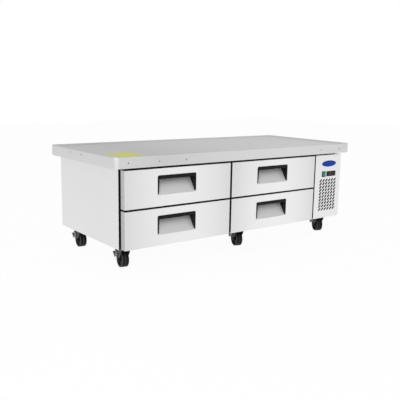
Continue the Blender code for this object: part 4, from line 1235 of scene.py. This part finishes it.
@dataclass
class Drawer:
    """One drawer: folded front with its recess, moulded pull, magnetic gasket, and its tray."""

    name: str
    fold: float = 0.0025
    trim: float = 0.0025
    thickness: float = 0.045
    plug_margin: float = 0.042
    plug_corner: float = 0.002
    recess_depth: float = 0.056
    recess_corner: float = 0.010
    sill: float = 0.001
    back_height: float = 0.022
    lip_height: float = 0.0225
    lip_sheet: float = 0.006
    roof_sheet: float = 0.003
    rear_sheet: float = 0.004
    cheek: float = 0.0135
    cheek_taper: float = 0.005
    cheek_gap: float = 0.0045
    foot_rise: float = 0.006
    nose: float = 0.004
    skim: float = 0.0002
    gasket_width: float = 0.030
    gasket_corner: float = 0.004

    def build(self) -> None:
        """Make the pieces of the drawer.

        A front is trimmed at the edges that face the seam between the banks and the worktop.
        """
        low, high = node_corners(f"{self.name}_front")
        self.face, self.rear = low[1], high[1]
        left, upper = self.name.endswith("left"), "upper" in self.name
        self.low = across(low, Axis.Y) + (0 if left else self.trim, 0)
        self.high = across(high, Axis.Y) - (self.trim if left else 0, self.trim if upper else 0)
        mouth_low, mouth_high = node_outline(f"{self.name}_pull", Axis.Y)
        self.mouth_low = mouth_low - (HAIR, HAIR + self.sill)
        self.mouth_high = mouth_high + HAIR
        self.shoulder = self.mouth_high[1] - self.back_height
        self.front()
        self.pull()
        self.gasket()
        dress(f"{self.name}_tray", TRAY_STEEL, 0.0006)

    def recess_reach(self, z: Array) -> Array:
        """How deep the recess is at a height: it slopes back evenly to its shoulder and stops."""
        slope = self.recess_depth / (self.shoulder - self.mouth_low[1])
        return np.clip((z - self.mouth_low[1]) * slope, 0, self.recess_depth)

    def front(self) -> None:
        """Front: from the recess's back out of its mouth, over the folds and round the plug."""
        straight = self.mouth_high[1] - self.recess_corner - self.mouth_low[1]
        marks = [(self.shoulder - self.mouth_low[1]) / straight]
        mouth = rounded_ring(self.mouth_low, self.mouth_high, (0.0, self.recess_corner),
                             marks_v=marks)
        back = lift(mouth, self.face + self.recess_reach(mouth[:, 1]), Axis.Y)
        edge = edge_line(self.thickness, self.fold, steps=5)
        outer = rim(self.low, self.high, Axis.Y, self.face, edge, corner=self.fold,
                    marks_v=marks)
        plug = rounded_ring(self.low + self.plug_margin, self.high - self.plug_margin,
                            self.plug_corner, marks_v=marks)
        plug_rear = lift(plug, self.rear, Axis.Y)
        skin = Skin()
        skin.patch(np.stack([back, lift(mouth, self.face, Axis.Y), *outer,
                             lift(plug, self.face + self.thickness, Axis.Y), plug_rear]),
                   wrap_columns=True)
        skin.cap(plug_rear)
        skin.cap(back[mouth[:, 1] > self.shoulder - WELD])
        skin.cap(back[mouth[:, 1] < self.shoulder + WELD])
        mesh = add_piece(f"{self.name}_front_skin", skin, FRONT_STEEL, self.name,
                         [f"{self.name}_front"], bevel=0.0009)
        # The recess and the returns get darker copies of the steel: painted shade.
        mark_faces(mesh, self.marks(*read_places(mesh.polygons, "center")),
                   [SHADED_RECESS_STEEL, SHADED_RETURN_STEEL, SEAM_SHADOW_STEEL])

    def marks(self, x: Array, y: Array, z: Array) -> Array:
        """Which finish each face of the front has, by its centre.

        Args:
            x: Where the centres are along the counter.
            y: Their depth.
            z: Their height.

        Returns:
            1 in the recess, painted darker as shade, 2 on the return at the counter's left end,
            painted darker as shade, 3 on the returns that face a seam, painted near black as
            shadow, and 0 elsewhere.
        """
        low, high = self.mouth_low, self.mouth_high
        deep = (y > self.face + HAIR) & (y < self.face + self.recess_depth + HAIR)
        beside = (x > low[0] - HAIR) & (x < high[0] + HAIR)
        inside = deep & beside & (z > low[1]) & (z < high[1] + HAIR)
        at_left, at_right = x < self.low[0] + WELD, x > self.high[0] - WELD
        at_end = (z < self.low[1] + WELD) | (z > self.high[1] - WELD)
        outermost = at_left & self.name.endswith("left")
        return np.select([inside, outermost, at_end | at_left | at_right], [1, 2, 3], 0)

    def lip_outline(self) -> Array:
        """Section of the pull's lip, its roof and rear wall, with a half-round lower edge.

        Returns:
            Points (y, z).
        """
        top, radius = self.mouth_high[1] - HAIR, self.lip_sheet / 2
        a = np.linspace(math.pi, 2 * math.pi, 9)
        bull = np.stack([self.face + radius * (1 + np.cos(a)),
                         top - self.lip_height + radius * (1 + np.sin(a))], -1)
        down = top - self.recess_corner * (1 - np.cos(np.linspace(0, math.pi / 2, 6)))
        bowed = np.stack([np.full_like(down, self.face), down], -1)
        rear, roof = self.face + self.recess_depth - HAIR, top - self.roof_sheet
        inner, foot = rear - self.rear_sheet, self.shoulder + self.sill
        inside = [(self.face + self.lip_sheet, roof), (inner, roof), (inner, foot), (rear, foot),
                  (rear, top)]
        return np.vstack([bowed, bull, inside])

    def cheek_outline(self) -> Array:
        """Triangular cheek whose lower end is rounded and whose back lies on the slope.

        Returns:
            Points (y, z).
        """
        top = self.mouth_high[1] - self.lip_height + self.lip_sheet
        foot = self.mouth_low[1] + self.foot_rise
        a = np.linspace(-math.pi / 2, -math.pi, 5)
        nose = np.stack([self.face + self.nose + (self.nose - self.skim) * np.cos(a),
                         foot + self.nose * (1 + np.sin(a))], -1)
        levels = np.array([self.shoulder, foot + self.nose])
        slope = np.stack([self.face + self.recess_reach(levels) - HAIR, levels], -1)
        rear = self.face + self.recess_depth - self.cheek_gap
        return np.vstack([nose, [(self.face + self.skim, top), (rear, top)], slope])

    def pull(self) -> None:
        """Pull: the lip across the top and a cheek down each side of the recess, drafted inside.

        The lip's ends follow the recess's round corners: half width = straight part + radius *
        sqrt(1 - (rise above the corner's centre / radius) ** 2).
        """
        lip, cheek, radius = self.lip_outline(), self.cheek_outline(), self.recess_corner
        middle = (self.mouth_low[0] + self.mouth_high[0]) / 2
        half = (self.mouth_high[0] - self.mouth_low[0]) / 2 - HAIR
        rise = np.clip(lip[:, 1] - (self.mouth_high[1] - radius), 0, radius)
        reach = half - radius + np.sqrt(radius ** 2 - rise ** 2)
        drop = (self.mouth_high[1] - cheek[:, 1]) / (self.mouth_high[1] - self.mouth_low[1])
        inner = half - self.cheek + self.cheek_taper * drop
        skin = Skin()
        skin.closed(np.stack([lift(lip, middle + side * reach, Axis.X) for side in (-1, 1)]))
        for side in (-1, 1):
            skin.closed(np.stack([lift(cheek, middle + side * out, Axis.X)
                                  for out in (half, inner)]))
        add_piece(f"{self.name}_pull_moulding", skin, PULL_MOULDING, self.name,
                  [f"{self.name}_pull"], bevel=0.0010)

    def gasket(self) -> None:
        """Magnetic gasket: a bellows section carried round the front's edge.

        The section is given in shares of its width and depth: the pleats first, from the face
        frame's side, and then the channel that holds it to the front.
        """
        low, high = node_corners(f"{self.name}_gasket")
        shares = np.array([(0.08, 0.0), (0.0, 0.16), (0.07, 0.32), (0.0, 0.48), (0.07, 0.64),
                           (0.0, 0.80), (0.06, 1.0), (0.62, 1.0), (0.72, 0.84), (0.62, 0.66),
                           (0.70, 0.50), (0.62, 0.34), (1.0, 0.22), (1.0, 0.0)])
        section = shares * (self.gasket_width, high[1] - low[1])
        skin = Skin()
        skin.patch(rim(across(low, Axis.Y), across(high, Axis.Y), Axis.Y, low[1], section,
                       corner=self.gasket_corner, steps=3), wrap_rows=True, wrap_columns=True)
        add_piece(f"{self.name}_gasket_bellows", skin, GASKET_RUBBER, self.name,
                  [f"{self.name}_gasket"])


@dataclass
class Controls:
    """Thermostat with its window, digits and keys, and the frame and box of the switch."""

    proud: float = 0.004
    corner: float = 0.003
    bezel_depth: float = 0.012
    wall: float = 0.003
    lap: float = 0.0002
    well: float = 0.0155
    box_gap: float = 0.005
    switch_half: tuple[float, float] = (0.017, 0.020)
    display_half: tuple[float, float] = (0.045, 0.018)
    gap: float = 0.014
    window_margin: float = 0.006
    window_end: float = 0.052
    window_proud: float = 0.0004
    window_corner: float = 0.002
    digit_start: float = 0.0145
    digit_pitch: float = 0.0170
    digit_half: tuple[float, float] = (0.0042, 0.0072)
    bar_half: float = 0.0009
    bar_gap: float = 0.0004
    bar_proud: float = 0.00055
    bar_corner: float = 0.0003
    key_start: tuple[float, float] = (0.0625, 0.0115)
    key_pitch: tuple[float, float] = (0.0165, 0.013)
    key_half: tuple[float, float] = (0.0058, 0.0042)
    key_proud: float = 0.0006
    key_corner: float = 0.002

    def outlines(self) -> tuple[Corners, Corners]:
        """Outlines (x, z) of the switch's frame and of the thermostat, placed from the rocker.

        Returns:
            The lowest and highest corner of each.
        """
        low, high = node_corners("power_switch")
        middle = np.array([(low[0] + high[0]) / 2, joint_of("power_switch_rock")["pos_m"][2]])
        shift = self.switch_half[0] + self.gap + self.display_half[0]
        places = ((middle, self.switch_half), (middle + (shift, 0), self.display_half))
        switch, display = ((centre - half, centre + half) for centre, half in places)
        return switch, display

    def build(self) -> None:
        """Make the thermostat and what holds the rocker."""
        self.near = node_corners("grille_panel")[0][1] - self.proud
        switch, display = self.outlines()
        self.housing(switch, display)
        self.window(display)
        self.keys(display)

    def housing(self, switch: Corners, display: Corners) -> None:
        """Thermostat bezel, switch frame with its well, and the box that holds both behind.

        Args:
            switch: Outline of the switch's frame.
            display: Outline of the thermostat.
        """
        wall, well, lap = self.wall, self.well, self.lap
        line = np.array([(wall + lap, well), (wall + lap, 0.001), (wall - 0.001, 0.0),
                         (0.0015, 0.0), (0.0, 0.0012), (0.0, well + 0.004),
                         (wall, well + 0.004)])
        box_face = self.near + well + self.box_gap
        box_depth = node_corners("control_box")[1][1] - box_face
        skin = Skin()
        skin.slab(*display, Axis.Y, self.near, edge_line(self.bezel_depth, 0.0012, steps=3),
                  corner=self.corner)
        skin.closed(rim(*switch, Axis.Y, self.near, line, corner=self.corner))
        skin.slab(*node_outline("control_box", Axis.Y), Axis.Y, box_face,
                  edge_line(box_depth, 0.002, 0.002, steps=3), corner=self.corner)
        add_piece("control_housing", skin, BLACK_MOULDING, replaces=["control_box"])

    def window(self, display: Corners) -> None:
        """Dark window with two digits in it.

        Args:
            display: Outline of the thermostat.
        """
        low, high = display
        window_low = low + self.window_margin
        window_high = np.array([low[0] + self.window_end, high[1] - self.window_margin])
        window, digits = Skin(), Skin()
        window.slab(window_low, window_high, Axis.Y, self.near - self.window_proud,
                    edge_line(0.001, 0.0003, steps=2), corner=self.window_corner)
        add_piece("display_window", window, DISPLAY_GLASS)
        for index, lit in enumerate(("abcdg", "abcdefg")):
            x = window_low[0] + self.digit_start + self.digit_pitch * index
            self.digit(digits, np.array([x, (low[1] + high[1]) / 2]), lit)
        add_piece("display_digits", digits, DISPLAY_DIGIT)

    def digit(self, skin: Skin, centre: Array, lit: str) -> None:
        """Seven-bar digit.

        Args:
            skin: What its bars are added to.
            centre: Its middle (x, z).
            lit: A letter for each lit bar, a at the top and then clockwise, g in the middle.
        """
        half, thin, gap = self.digit_half, self.bar_half, self.bar_gap
        level_reach = (half[0] - thin - gap, thin)
        upright_reach = (thin, half[1] / 2 - thin - gap)
        bars = {"a": (0, 1), "g": (0, 0), "d": (0, -1), "b": (1, 0.5), "c": (1, -0.5),
                "e": (-1, -0.5), "f": (-1, 0.5)}
        for letter in lit:
            side, end = bars[letter]
            middle = centre + (side * half[0], end * half[1])
            reach = np.array(upright_reach if side else level_reach)
            skin.slab(middle - reach, middle + reach, Axis.Y, self.near - self.bar_proud,
                      edge_line(0.0004, 0.0001, steps=1), corner=self.bar_corner)

    def keys(self, display: Corners) -> None:
        """Four keys beside the window, two by two.

        Args:
            display: Outline of the thermostat.
        """
        skin = Skin()
        half = np.array(self.key_half)
        for cell in np.ndindex(2, 2):
            centre = display[0] + self.key_start + np.array(self.key_pitch) * cell
            skin.slab(centre - half, centre + half, Axis.Y, self.near - self.key_proud,
                      edge_line(0.0012, 0.0005, steps=3), corner=self.key_corner)
        add_piece("thermostat_keys", skin, KEY_FILM)


@dataclass
class Rocker:
    """Lit rocker of the power switch, dished between its two ends, with a bar and a ring."""

    half_height: float = 0.015
    depth: float = 0.0085
    dish: float = 0.0018
    ease: float = 0.0006
    rear: float = 0.004
    lean: float = math.radians(8)
    mark_level: float = 0.6
    mark_proud: float = 0.0002
    mark_sunk: float = 0.0006
    stroke_half: tuple[float, float] = (0.0005, 0.0024)
    ring_radii: tuple[float, float] = (0.0022, 0.0028)

    def build(self) -> None:
        """Make the rocker and its marks."""
        low, high = node_corners("power_switch")
        self.middle, self.half_width = (low[0] + high[0]) / 2, (high[0] - low[0]) / 2
        self.pivot = np.array(joint_of("power_switch_rock")["pos_m"])
        self.body()
        self.marks()

    def crown(self, z: Array) -> Array:
        """Depth of the face at a height: sunk by dish * (1 - (height / half height) ** 2)."""
        return self.dish * (1 - (z / self.half_height) ** 2) - self.depth

    def leaned(self, points: Array) -> Array:
        """Points put in place: y and z are turned about X by the lean and moved to the pivot.

        Args:
            points: Points (..., 3), whose y and z are measured from the pivot.

        Returns:
            Points (..., 3).
        """
        x, y, z = np.moveaxis(points, -1, 0)
        cosine, sine = math.cos(self.lean), math.sin(self.lean)
        return np.stack([x, self.pivot[1] + y * cosine + z * sine,
                         self.pivot[2] - y * sine + z * cosine], -1)

    def body(self) -> None:
        """The rocker: its dished face, which eases back at both sides, its back and its walls."""
        share, up = np.meshgrid(np.linspace(-1, 1, 9), np.linspace(-1, 1, 13), indexing="ij")
        z = up * self.half_height
        ease = self.ease * np.clip((np.abs(share) - 0.75) * 4, 0, 1) ** 2
        x = self.middle + share * self.half_width
        front = np.stack([x, self.crown(z) + ease, z], -1)
        back = np.stack([x, np.full_like(x, self.rear), z], -1)
        walls = [np.stack([front[edge], back[edge]])
                 for edge in (0, -1, (slice(None), 0), (slice(None), -1))]
        skin = Skin()
        for sheet in (front, back, *walls):
            skin.patch(self.leaned(sheet))
        add_piece("rocker", skin, SWITCH_GREEN, "power_switch", ["power_switch"])

    def marks(self) -> None:
        """A bar at the upper end and a ring at the lower one, both laid on the dished face."""
        proud, sunk = -self.mark_proud, self.mark_sunk
        inner, outer = self.ring_radii
        bar_outline = np.array([(-1, -1), (1, -1), (1, 1), (-1, 1)]) * self.stroke_half
        turn = np.linspace(0, 2 * math.pi, 24, endpoint=False)
        circle = np.stack([np.cos(turn), np.sin(turn)], -1)
        ring = [(inner, proud), (outer, proud), (outer, sunk), (inner, sunk)]
        skin = Skin()
        skin.closed(self.laid(bar_outline, self.mark_level, [(1.0, proud), (1.0, sunk)]))
        skin.patch(self.laid(circle, -self.mark_level, ring), wrap_rows=True,
                   wrap_columns=True)
        add_piece("rocker_marks", skin, SWITCH_MARK, "power_switch")

    def laid(self, outline: Array, level: float, rings: Sequence[tuple[float, float]]) -> Array:
        """Rings of a mark that follow the dished face.

        Args:
            outline: Points (N, 2) round the mark's middle.
            level: Where its middle is, as a share of the half height.
            rings: For each ring its scale, and its depth under the face.

        Returns:
            Points (rings, N, 3).
        """
        sizes, depths = np.array(rings).T[..., None]
        flat = outline * sizes[..., None] + (self.middle, level * self.half_height)
        return self.leaned(lift(flat, self.crown(flat[..., 1]) + depths, Axis.Y))


@dataclass
class GrillePanel:
    """Folded front of the machine compartment: slanted slots, control holes and nameplate."""

    controls: Controls
    fold: float = 0.003
    trim: float = 0.002
    sheet: float = 0.0015
    slot: Slot = Slot(0.0290, 0.0120, math.radians(41), 0.0003)
    slot_shear: int = 3
    pitch: tuple[float, float] = (0.0295, 0.0231)
    columns: int = 6
    rows: int = 10
    field_rise: float = 0.0641
    field_shift: float = 0.002
    hole_lap: tuple[float, float] = (0.003, 0.004)
    control_reach: float = 0.026
    screen_margin: float = 0.010
    screen_gap: float = 0.0022
    screen_sheet: float = 0.001
    pleat: float = 0.0010
    plate_half: tuple[float, float] = (0.077, 0.0245)
    plate_shift: float = 0.003
    plate_level: float = 0.5375
    plate_proud: float = 0.0018
    rim_width: float = 0.002
    dome_rise: float = 0.001

    def build(self) -> None:
        """Make the panel, the black sheet behind its slots that stands in for shade, and its
        nameplate.
        """
        low, high = node_corners("grille_panel")
        middle = (low[0] + high[0]) / 2 + self.field_shift
        low[0] += self.trim
        self.low, self.high = low, high
        left = middle - self.columns / 2 * self.pitch[0]
        floor = low[2] + self.field_rise - self.pitch[1] / 2
        slots = Block(left + self.pitch[0] * np.arange(self.columns + 1),
                      floor + self.pitch[1] * np.arange(self.rows + 1), [self.slot],
                      self.slot_shear)
        skin = folded_panel(across(low, Axis.Y), across(high, Axis.Y), Axis.Y, low[1], 1,
                            self.fold, high[1] - low[1], self.sheet,
                            [slots, self.control_cells()])
        mesh = add_piece("grille_panel_sheet", skin, GRILLE_STEEL, replaces=["grille_panel"])
        x = read_places(mesh.polygons, "center")[0]
        # The panel's left return, which faces the seam, gets near-black painted shadow.
        mark_faces(mesh, x < low[0] + WELD, [SEAM_SHADOW_STEEL])
        self.screen(slots)
        self.nameplate()

    def screen(self, slots: Block) -> None:
        """Fine black sheet just behind the slots, standing in for the shade inside, pleated so it
        is stiff.

        Its depth is a cosine of the height, one pleat for each half row of slots.

        Args:
            slots: The cells that it lies behind.
        """
        margin, points_a_row = self.screen_margin, 12
        v = np.linspace(slots.rows[0] - margin, slots.rows[-1] + margin,
                        points_a_row * self.rows + 1)
        pleats = self.pleat * np.cos(2 * math.pi * v / (self.pitch[1] / 2))
        near = self.low[1] + self.sheet + self.screen_gap + pleats
        wave = np.vstack([np.stack([near, v], -1),
                          np.stack([near + self.screen_sheet, v], -1)[::-1]])
        skin = Skin()
        bar(skin, wave, Axis.X, slots.columns[0] - margin, slots.columns[-1] + margin)
        add_piece("grille_screen", skin, SHADE_SCREEN_MESH)

    def control_cells(self) -> Block:
        """Cells round the holes that the switch and the thermostat sit in.

        Returns:
            One row of two cells.
        """
        switch, display = self.controls.outlines()
        between = (switch[1][0] + display[0][0]) / 2
        reach = between - switch[1][0]
        edges = np.array([switch[0][0] - reach, between, display[1][0] + reach])
        middle = (switch[0][1] + switch[1][1]) / 2
        rows = np.array([middle - self.control_reach, middle + self.control_reach])
        holes = [Window(*(high - low - self.hole_lap)) for low, high in (switch, display)]
        return Block(edges, rows, holes)

    def nameplate(self) -> None:
        """Blank oval nameplate: a bright rim with a domed blue face inside it."""
        edge = edge_line(self.plate_proud, 0.0008, steps=3)
        dome = np.array([(0.019, 0.0), (0.012, 0.00008), (0.006, 0.0003), (0.002, 0.0006),
                         (0.0, 0.0011)])
        plate, face = Skin(), Skin()
        plate.closed(self.oval(0.0, edge - (0.0, self.plate_proud)))
        add_piece("nameplate_rim", plate, PLATE_RIM)
        face.closed(self.oval(self.rim_width, dome - (0.0, self.plate_proud + self.dome_rise)))
        add_piece("nameplate_face", face, PLATE_BLUE)

    def oval(self, margin: float, line: Array) -> Array:
        """Rings of an oval: half widths * (cos a, sin a), less each row's inset.

        Args:
            margin: How far inside the nameplate's edge the oval lies.
            line: Points (inset, depth behind the panel's face).

        Returns:
            Points (rows, ring, 3).
        """
        middle = ((self.low[0] + self.high[0]) / 2 + self.plate_shift, self.plate_level)
        a = np.linspace(0, 2 * math.pi, 48, endpoint=False)
        way = np.stack([np.cos(a), np.sin(a)], -1)
        inset, depth = line.T[..., None]
        half = np.array(self.plate_half) - margin - inset[:, None]
        return lift(middle + way * half, self.low[1] + depth, Axis.Y)


class Machinery:
    """Refrigeration pieces that keep their frame shape and get their finishes."""

    def build(self) -> None:
        """Dress the pieces behind the grille and in the cold space."""
        dress("condenser", COIL_METAL, 0.0006)
        dress("evaporator", COIL_METAL, 0.0006)
        dress("condenser_fan", BLACK_MOULDING, 0.0004)
        dress("evaporator_fan", BLACK_MOULDING, 0.0004)
        dress("compressor", COMPRESSOR_PAINT, 0.0008)


@dataclass
class Caster:
    """One swivel caster: dressed plate, fork and pedal, and its wheel."""

    name: str
    half_width: float = 0.022
    bore: float = 0.0054
    steps: int = 72
    chamfer: tuple[float, float] = (0.0487, 0.94)
    chamfer_highlight: float = 0.0032
    line_radius: float = 0.0495
    line_highlight: float = 0.0022

    def build(self) -> None:
        """Dress the pressings and make the wheel."""
        dress(f"{self.name}_plate", CASTER_PAINT, 0.0006)
        dress(f"{self.name}_fork", CASTER_PAINT, 0.0006)
        dress(f"{self.name}_brake", BRAKE_PLATE, 0.0005)
        self.wheel()

    def profile(self) -> Array:
        """Half of the wheel's section: hub, web, rim and tread.

        Returns:
            Points (radius, place along the axle).
        """
        rows = [(self.bore, 0.97), (0.0115, 0.97), (0.0128, 0.90), (0.0150, 0.62),
                (0.0310, 0.58), (0.0345, 0.62), (0.0370, 0.88), (0.0385, 0.955),
                (0.0405, 0.96), (0.0415, 1.0), (0.0460, 1.0), (0.0476, 0.98), self.chamfer,
                (0.0494, 0.87), (0.0498, 0.76), (0.0498, 0.40), (0.0498, 0.09),
                (0.0500, 0.04), (0.0500, 0.0)]
        return np.array(rows) * (1, self.half_width)

    def wheel(self) -> None:
        """Wheel turned about its axle and set on the joint that it rolls on."""
        half = self.profile()
        joint = joint_of(f"{self.name}_roll")
        along, up = Vector(joint["axis"]), Vector((0, 0, 1))
        turn = Matrix((along, up.cross(along), up)).transposed().to_4x4()
        skin = Skin()
        section = np.vstack([half, half[-2::-1] * (1, -1)])
        skin.patch(turned(section, self.steps), wrap_rows=True, wrap_columns=True)
        mesh = add_piece(f"{self.name}_wheel_tyre", skin, TREAD_RUBBER, f"{self.name}_wheel",
                         [f"{self.name}_wheel"])
        self.wear(mesh)
        mesh.transform(Matrix.Translation(joint["pos_m"]) @ turn)

    def wear(self, mesh: bpy.types.Mesh) -> None:
        """Write where the painted highlight sits: on the tread's chamfers and on the moulding line
        round it.

        It falls off from each of these rings as (1 - distance / width) held at zero.

        Args:
            mesh: The wheel, still about its own axle.
        """
        x, y, z = read_places(mesh.vertices, "co")
        radius, out = np.hypot(y, z), np.abs(x)
        corner, share = self.chamfer
        distance = np.hypot(radius - corner, out - share * self.half_width)
        chamfer = 1 - distance / self.chamfer_highlight
        line = np.where(radius > self.line_radius, 1 - out / self.line_highlight, 0)
        amount = np.clip(np.maximum(chamfer, 0.7 * line), 0, 1)
        mesh.attributes.new("wear", "FLOAT", "POINT").data.foreach_set("value", amount)


@dataclass(frozen=True)
class Lamp:
    """Large soft round lamp, aimed at a point low in the object."""

    name: str
    place: Triple
    size: float
    power: float
    aim: Triple = (0.0, 0.0, 0.3)

    def build(self) -> None:
        """Set the lamp up."""
        data = bpy.data.lights.new(self.name, "AREA")
        data.shape, data.size, data.energy = "DISK", self.size, self.power
        lamp = link(self.name, data)
        lamp.location = self.place
        way = Vector(self.aim) - Vector(self.place)
        lamp.rotation_euler = way.to_track_quat("-Z", "Y").to_euler()


@dataclass
class Studio:
    """Floor, soft light and the camera."""

    eye: Triple = (-2.4595, -3.146, 1.0335)
    yaw: float = math.radians(37.207)
    pitch: float = math.radians(10.639)
    roll: float = math.radians(0.995)
    lens: float = 52.5
    floor_reach: float = 14.0
    floor_grey: float = 0.92
    glow_share: float = 0.95
    light: float = 0.88
    behind_dim: float = 0.26
    overhead_dim: float = 0.24
    lamps: tuple[Lamp, ...] = (Lamp("key", (-3.6, -3.0, 2.6), 3.2, 62),
                               Lamp("fill", (-1.0, -4.8, 0.8), 2.6, 12))

    def build(self) -> None:
        """Set the whole studio up."""
        self.camera()
        self.world()
        self.floor()
        for lamp in self.lamps:
            lamp.build()
        bpy.context.scene.view_settings.view_transform = "Standard"

    def camera(self) -> None:
        """Camera at the photograph's place and angle."""
        data = bpy.data.cameras.new("camera")
        data.lens, data.sensor_width, data.clip_end = self.lens, 36.0, 60
        eye = link("camera", data)
        eye.location = self.eye
        heading = Matrix.Rotation(-self.yaw, 3, "Z")
        level = heading @ Matrix.Rotation(math.pi / 2 - self.pitch, 3, "X")
        eye.rotation_euler = (level @ Matrix.Rotation(self.roll, 3, "Z")).to_euler()
        bpy.context.scene.camera = eye

    def seen(self, recipe: Recipe) -> Signal:
        """1 for rays that come straight from the camera or off gloss or through glass."""
        camera, gloss, through = (recipe.node("ShaderNodeLightPath", out=f"Is {ray} Ray")
                                  for ray in ("Camera", "Glossy", "Transmission"))
        return (camera + gloss + through).at_most(1.0)

    def world(self) -> None:
        """White behind the object, with soft light that is dimmer behind it and overhead."""
        world = bpy.data.worlds.new("studio")
        world.use_nodes = True
        bpy.context.scene.world = world
        recipe = Recipe(world.node_tree)
        way = recipe.node("ShaderNodeTexCoord", out="Generated")
        x, y, z = (recipe.node("ShaderNodeSeparateXYZ", values={0: way}, out=axis.name)
                   for axis in Axis)
        behind = recipe.ramp(y * 0.978 + x * 0.208, 0.60, 1.0)
        overhead = recipe.ramp(z, 0.25, 0.95)
        light = self.light - behind * self.behind_dim - overhead * self.overhead_dim
        camera = recipe.node("ShaderNodeLightPath", out="Is Camera Ray")
        strength = camera + (1 - camera) * light
        background = world.node_tree.nodes["Background"]
        background.inputs["Color"].default_value = (1, 1, 1, 1)
        world.node_tree.links.new(strength.socket, background.inputs["Strength"])

    def floor(self) -> None:
        """Pale floor: mostly its own white, so that only the object's soft shadow shows on it."""
        skin = Skin()
        reach = self.floor_reach
        skin.cap(np.array([(-reach, -reach, 0), (reach, -reach, 0), (reach, reach, 0),
                           (-reach, reach, 0)]))
        floor = link("floor", skin.mesh("floor"))
        material = bpy.data.materials.new("pale_floor")
        material.use_nodes = True
        tree = material.node_tree
        shader = tree.nodes["Principled BSDF"]
        shader.inputs["Base Color"].default_value = (*[self.floor_grey] * 3, 1)
        shader.inputs["Roughness"].default_value = 0.9
        recipe = Recipe(tree)
        glow = recipe.node("ShaderNodeEmission",
                           values={"Color": (1, 1, 1, 1), "Strength": 1.0})
        mix = recipe.node("ShaderNodeMixShader",
                          values={0: self.seen(recipe) * self.glow_share,
                                  1: Signal(tree, shader.outputs[0]), 2: glow})
        tree.links.new(mix.socket, tree.nodes["Material Output"].inputs["Surface"])
        floor.data.materials.append(material)


def main() -> None:
    """Build the sub-assemblies in order."""
    logging.basicConfig(level=logging.INFO, format="%(name)s: %(message)s")
    controls = Controls()
    drawers = [Drawer(f"drawer_{level}_{side}")
               for level in ("lower", "upper") for side in ("left", "right")]
    casters = [Caster(f"caster_{row}_{side}")
               for row in ("front", "rear") for side in ("left", "middle", "right")]
    for assembly in (Studio(), Worktop(), Casework(), *drawers, GrillePanel(controls), controls,
                     Rocker(), Machinery(), *casters):
        assembly.build()


if __name__ == "__main__":
    main()
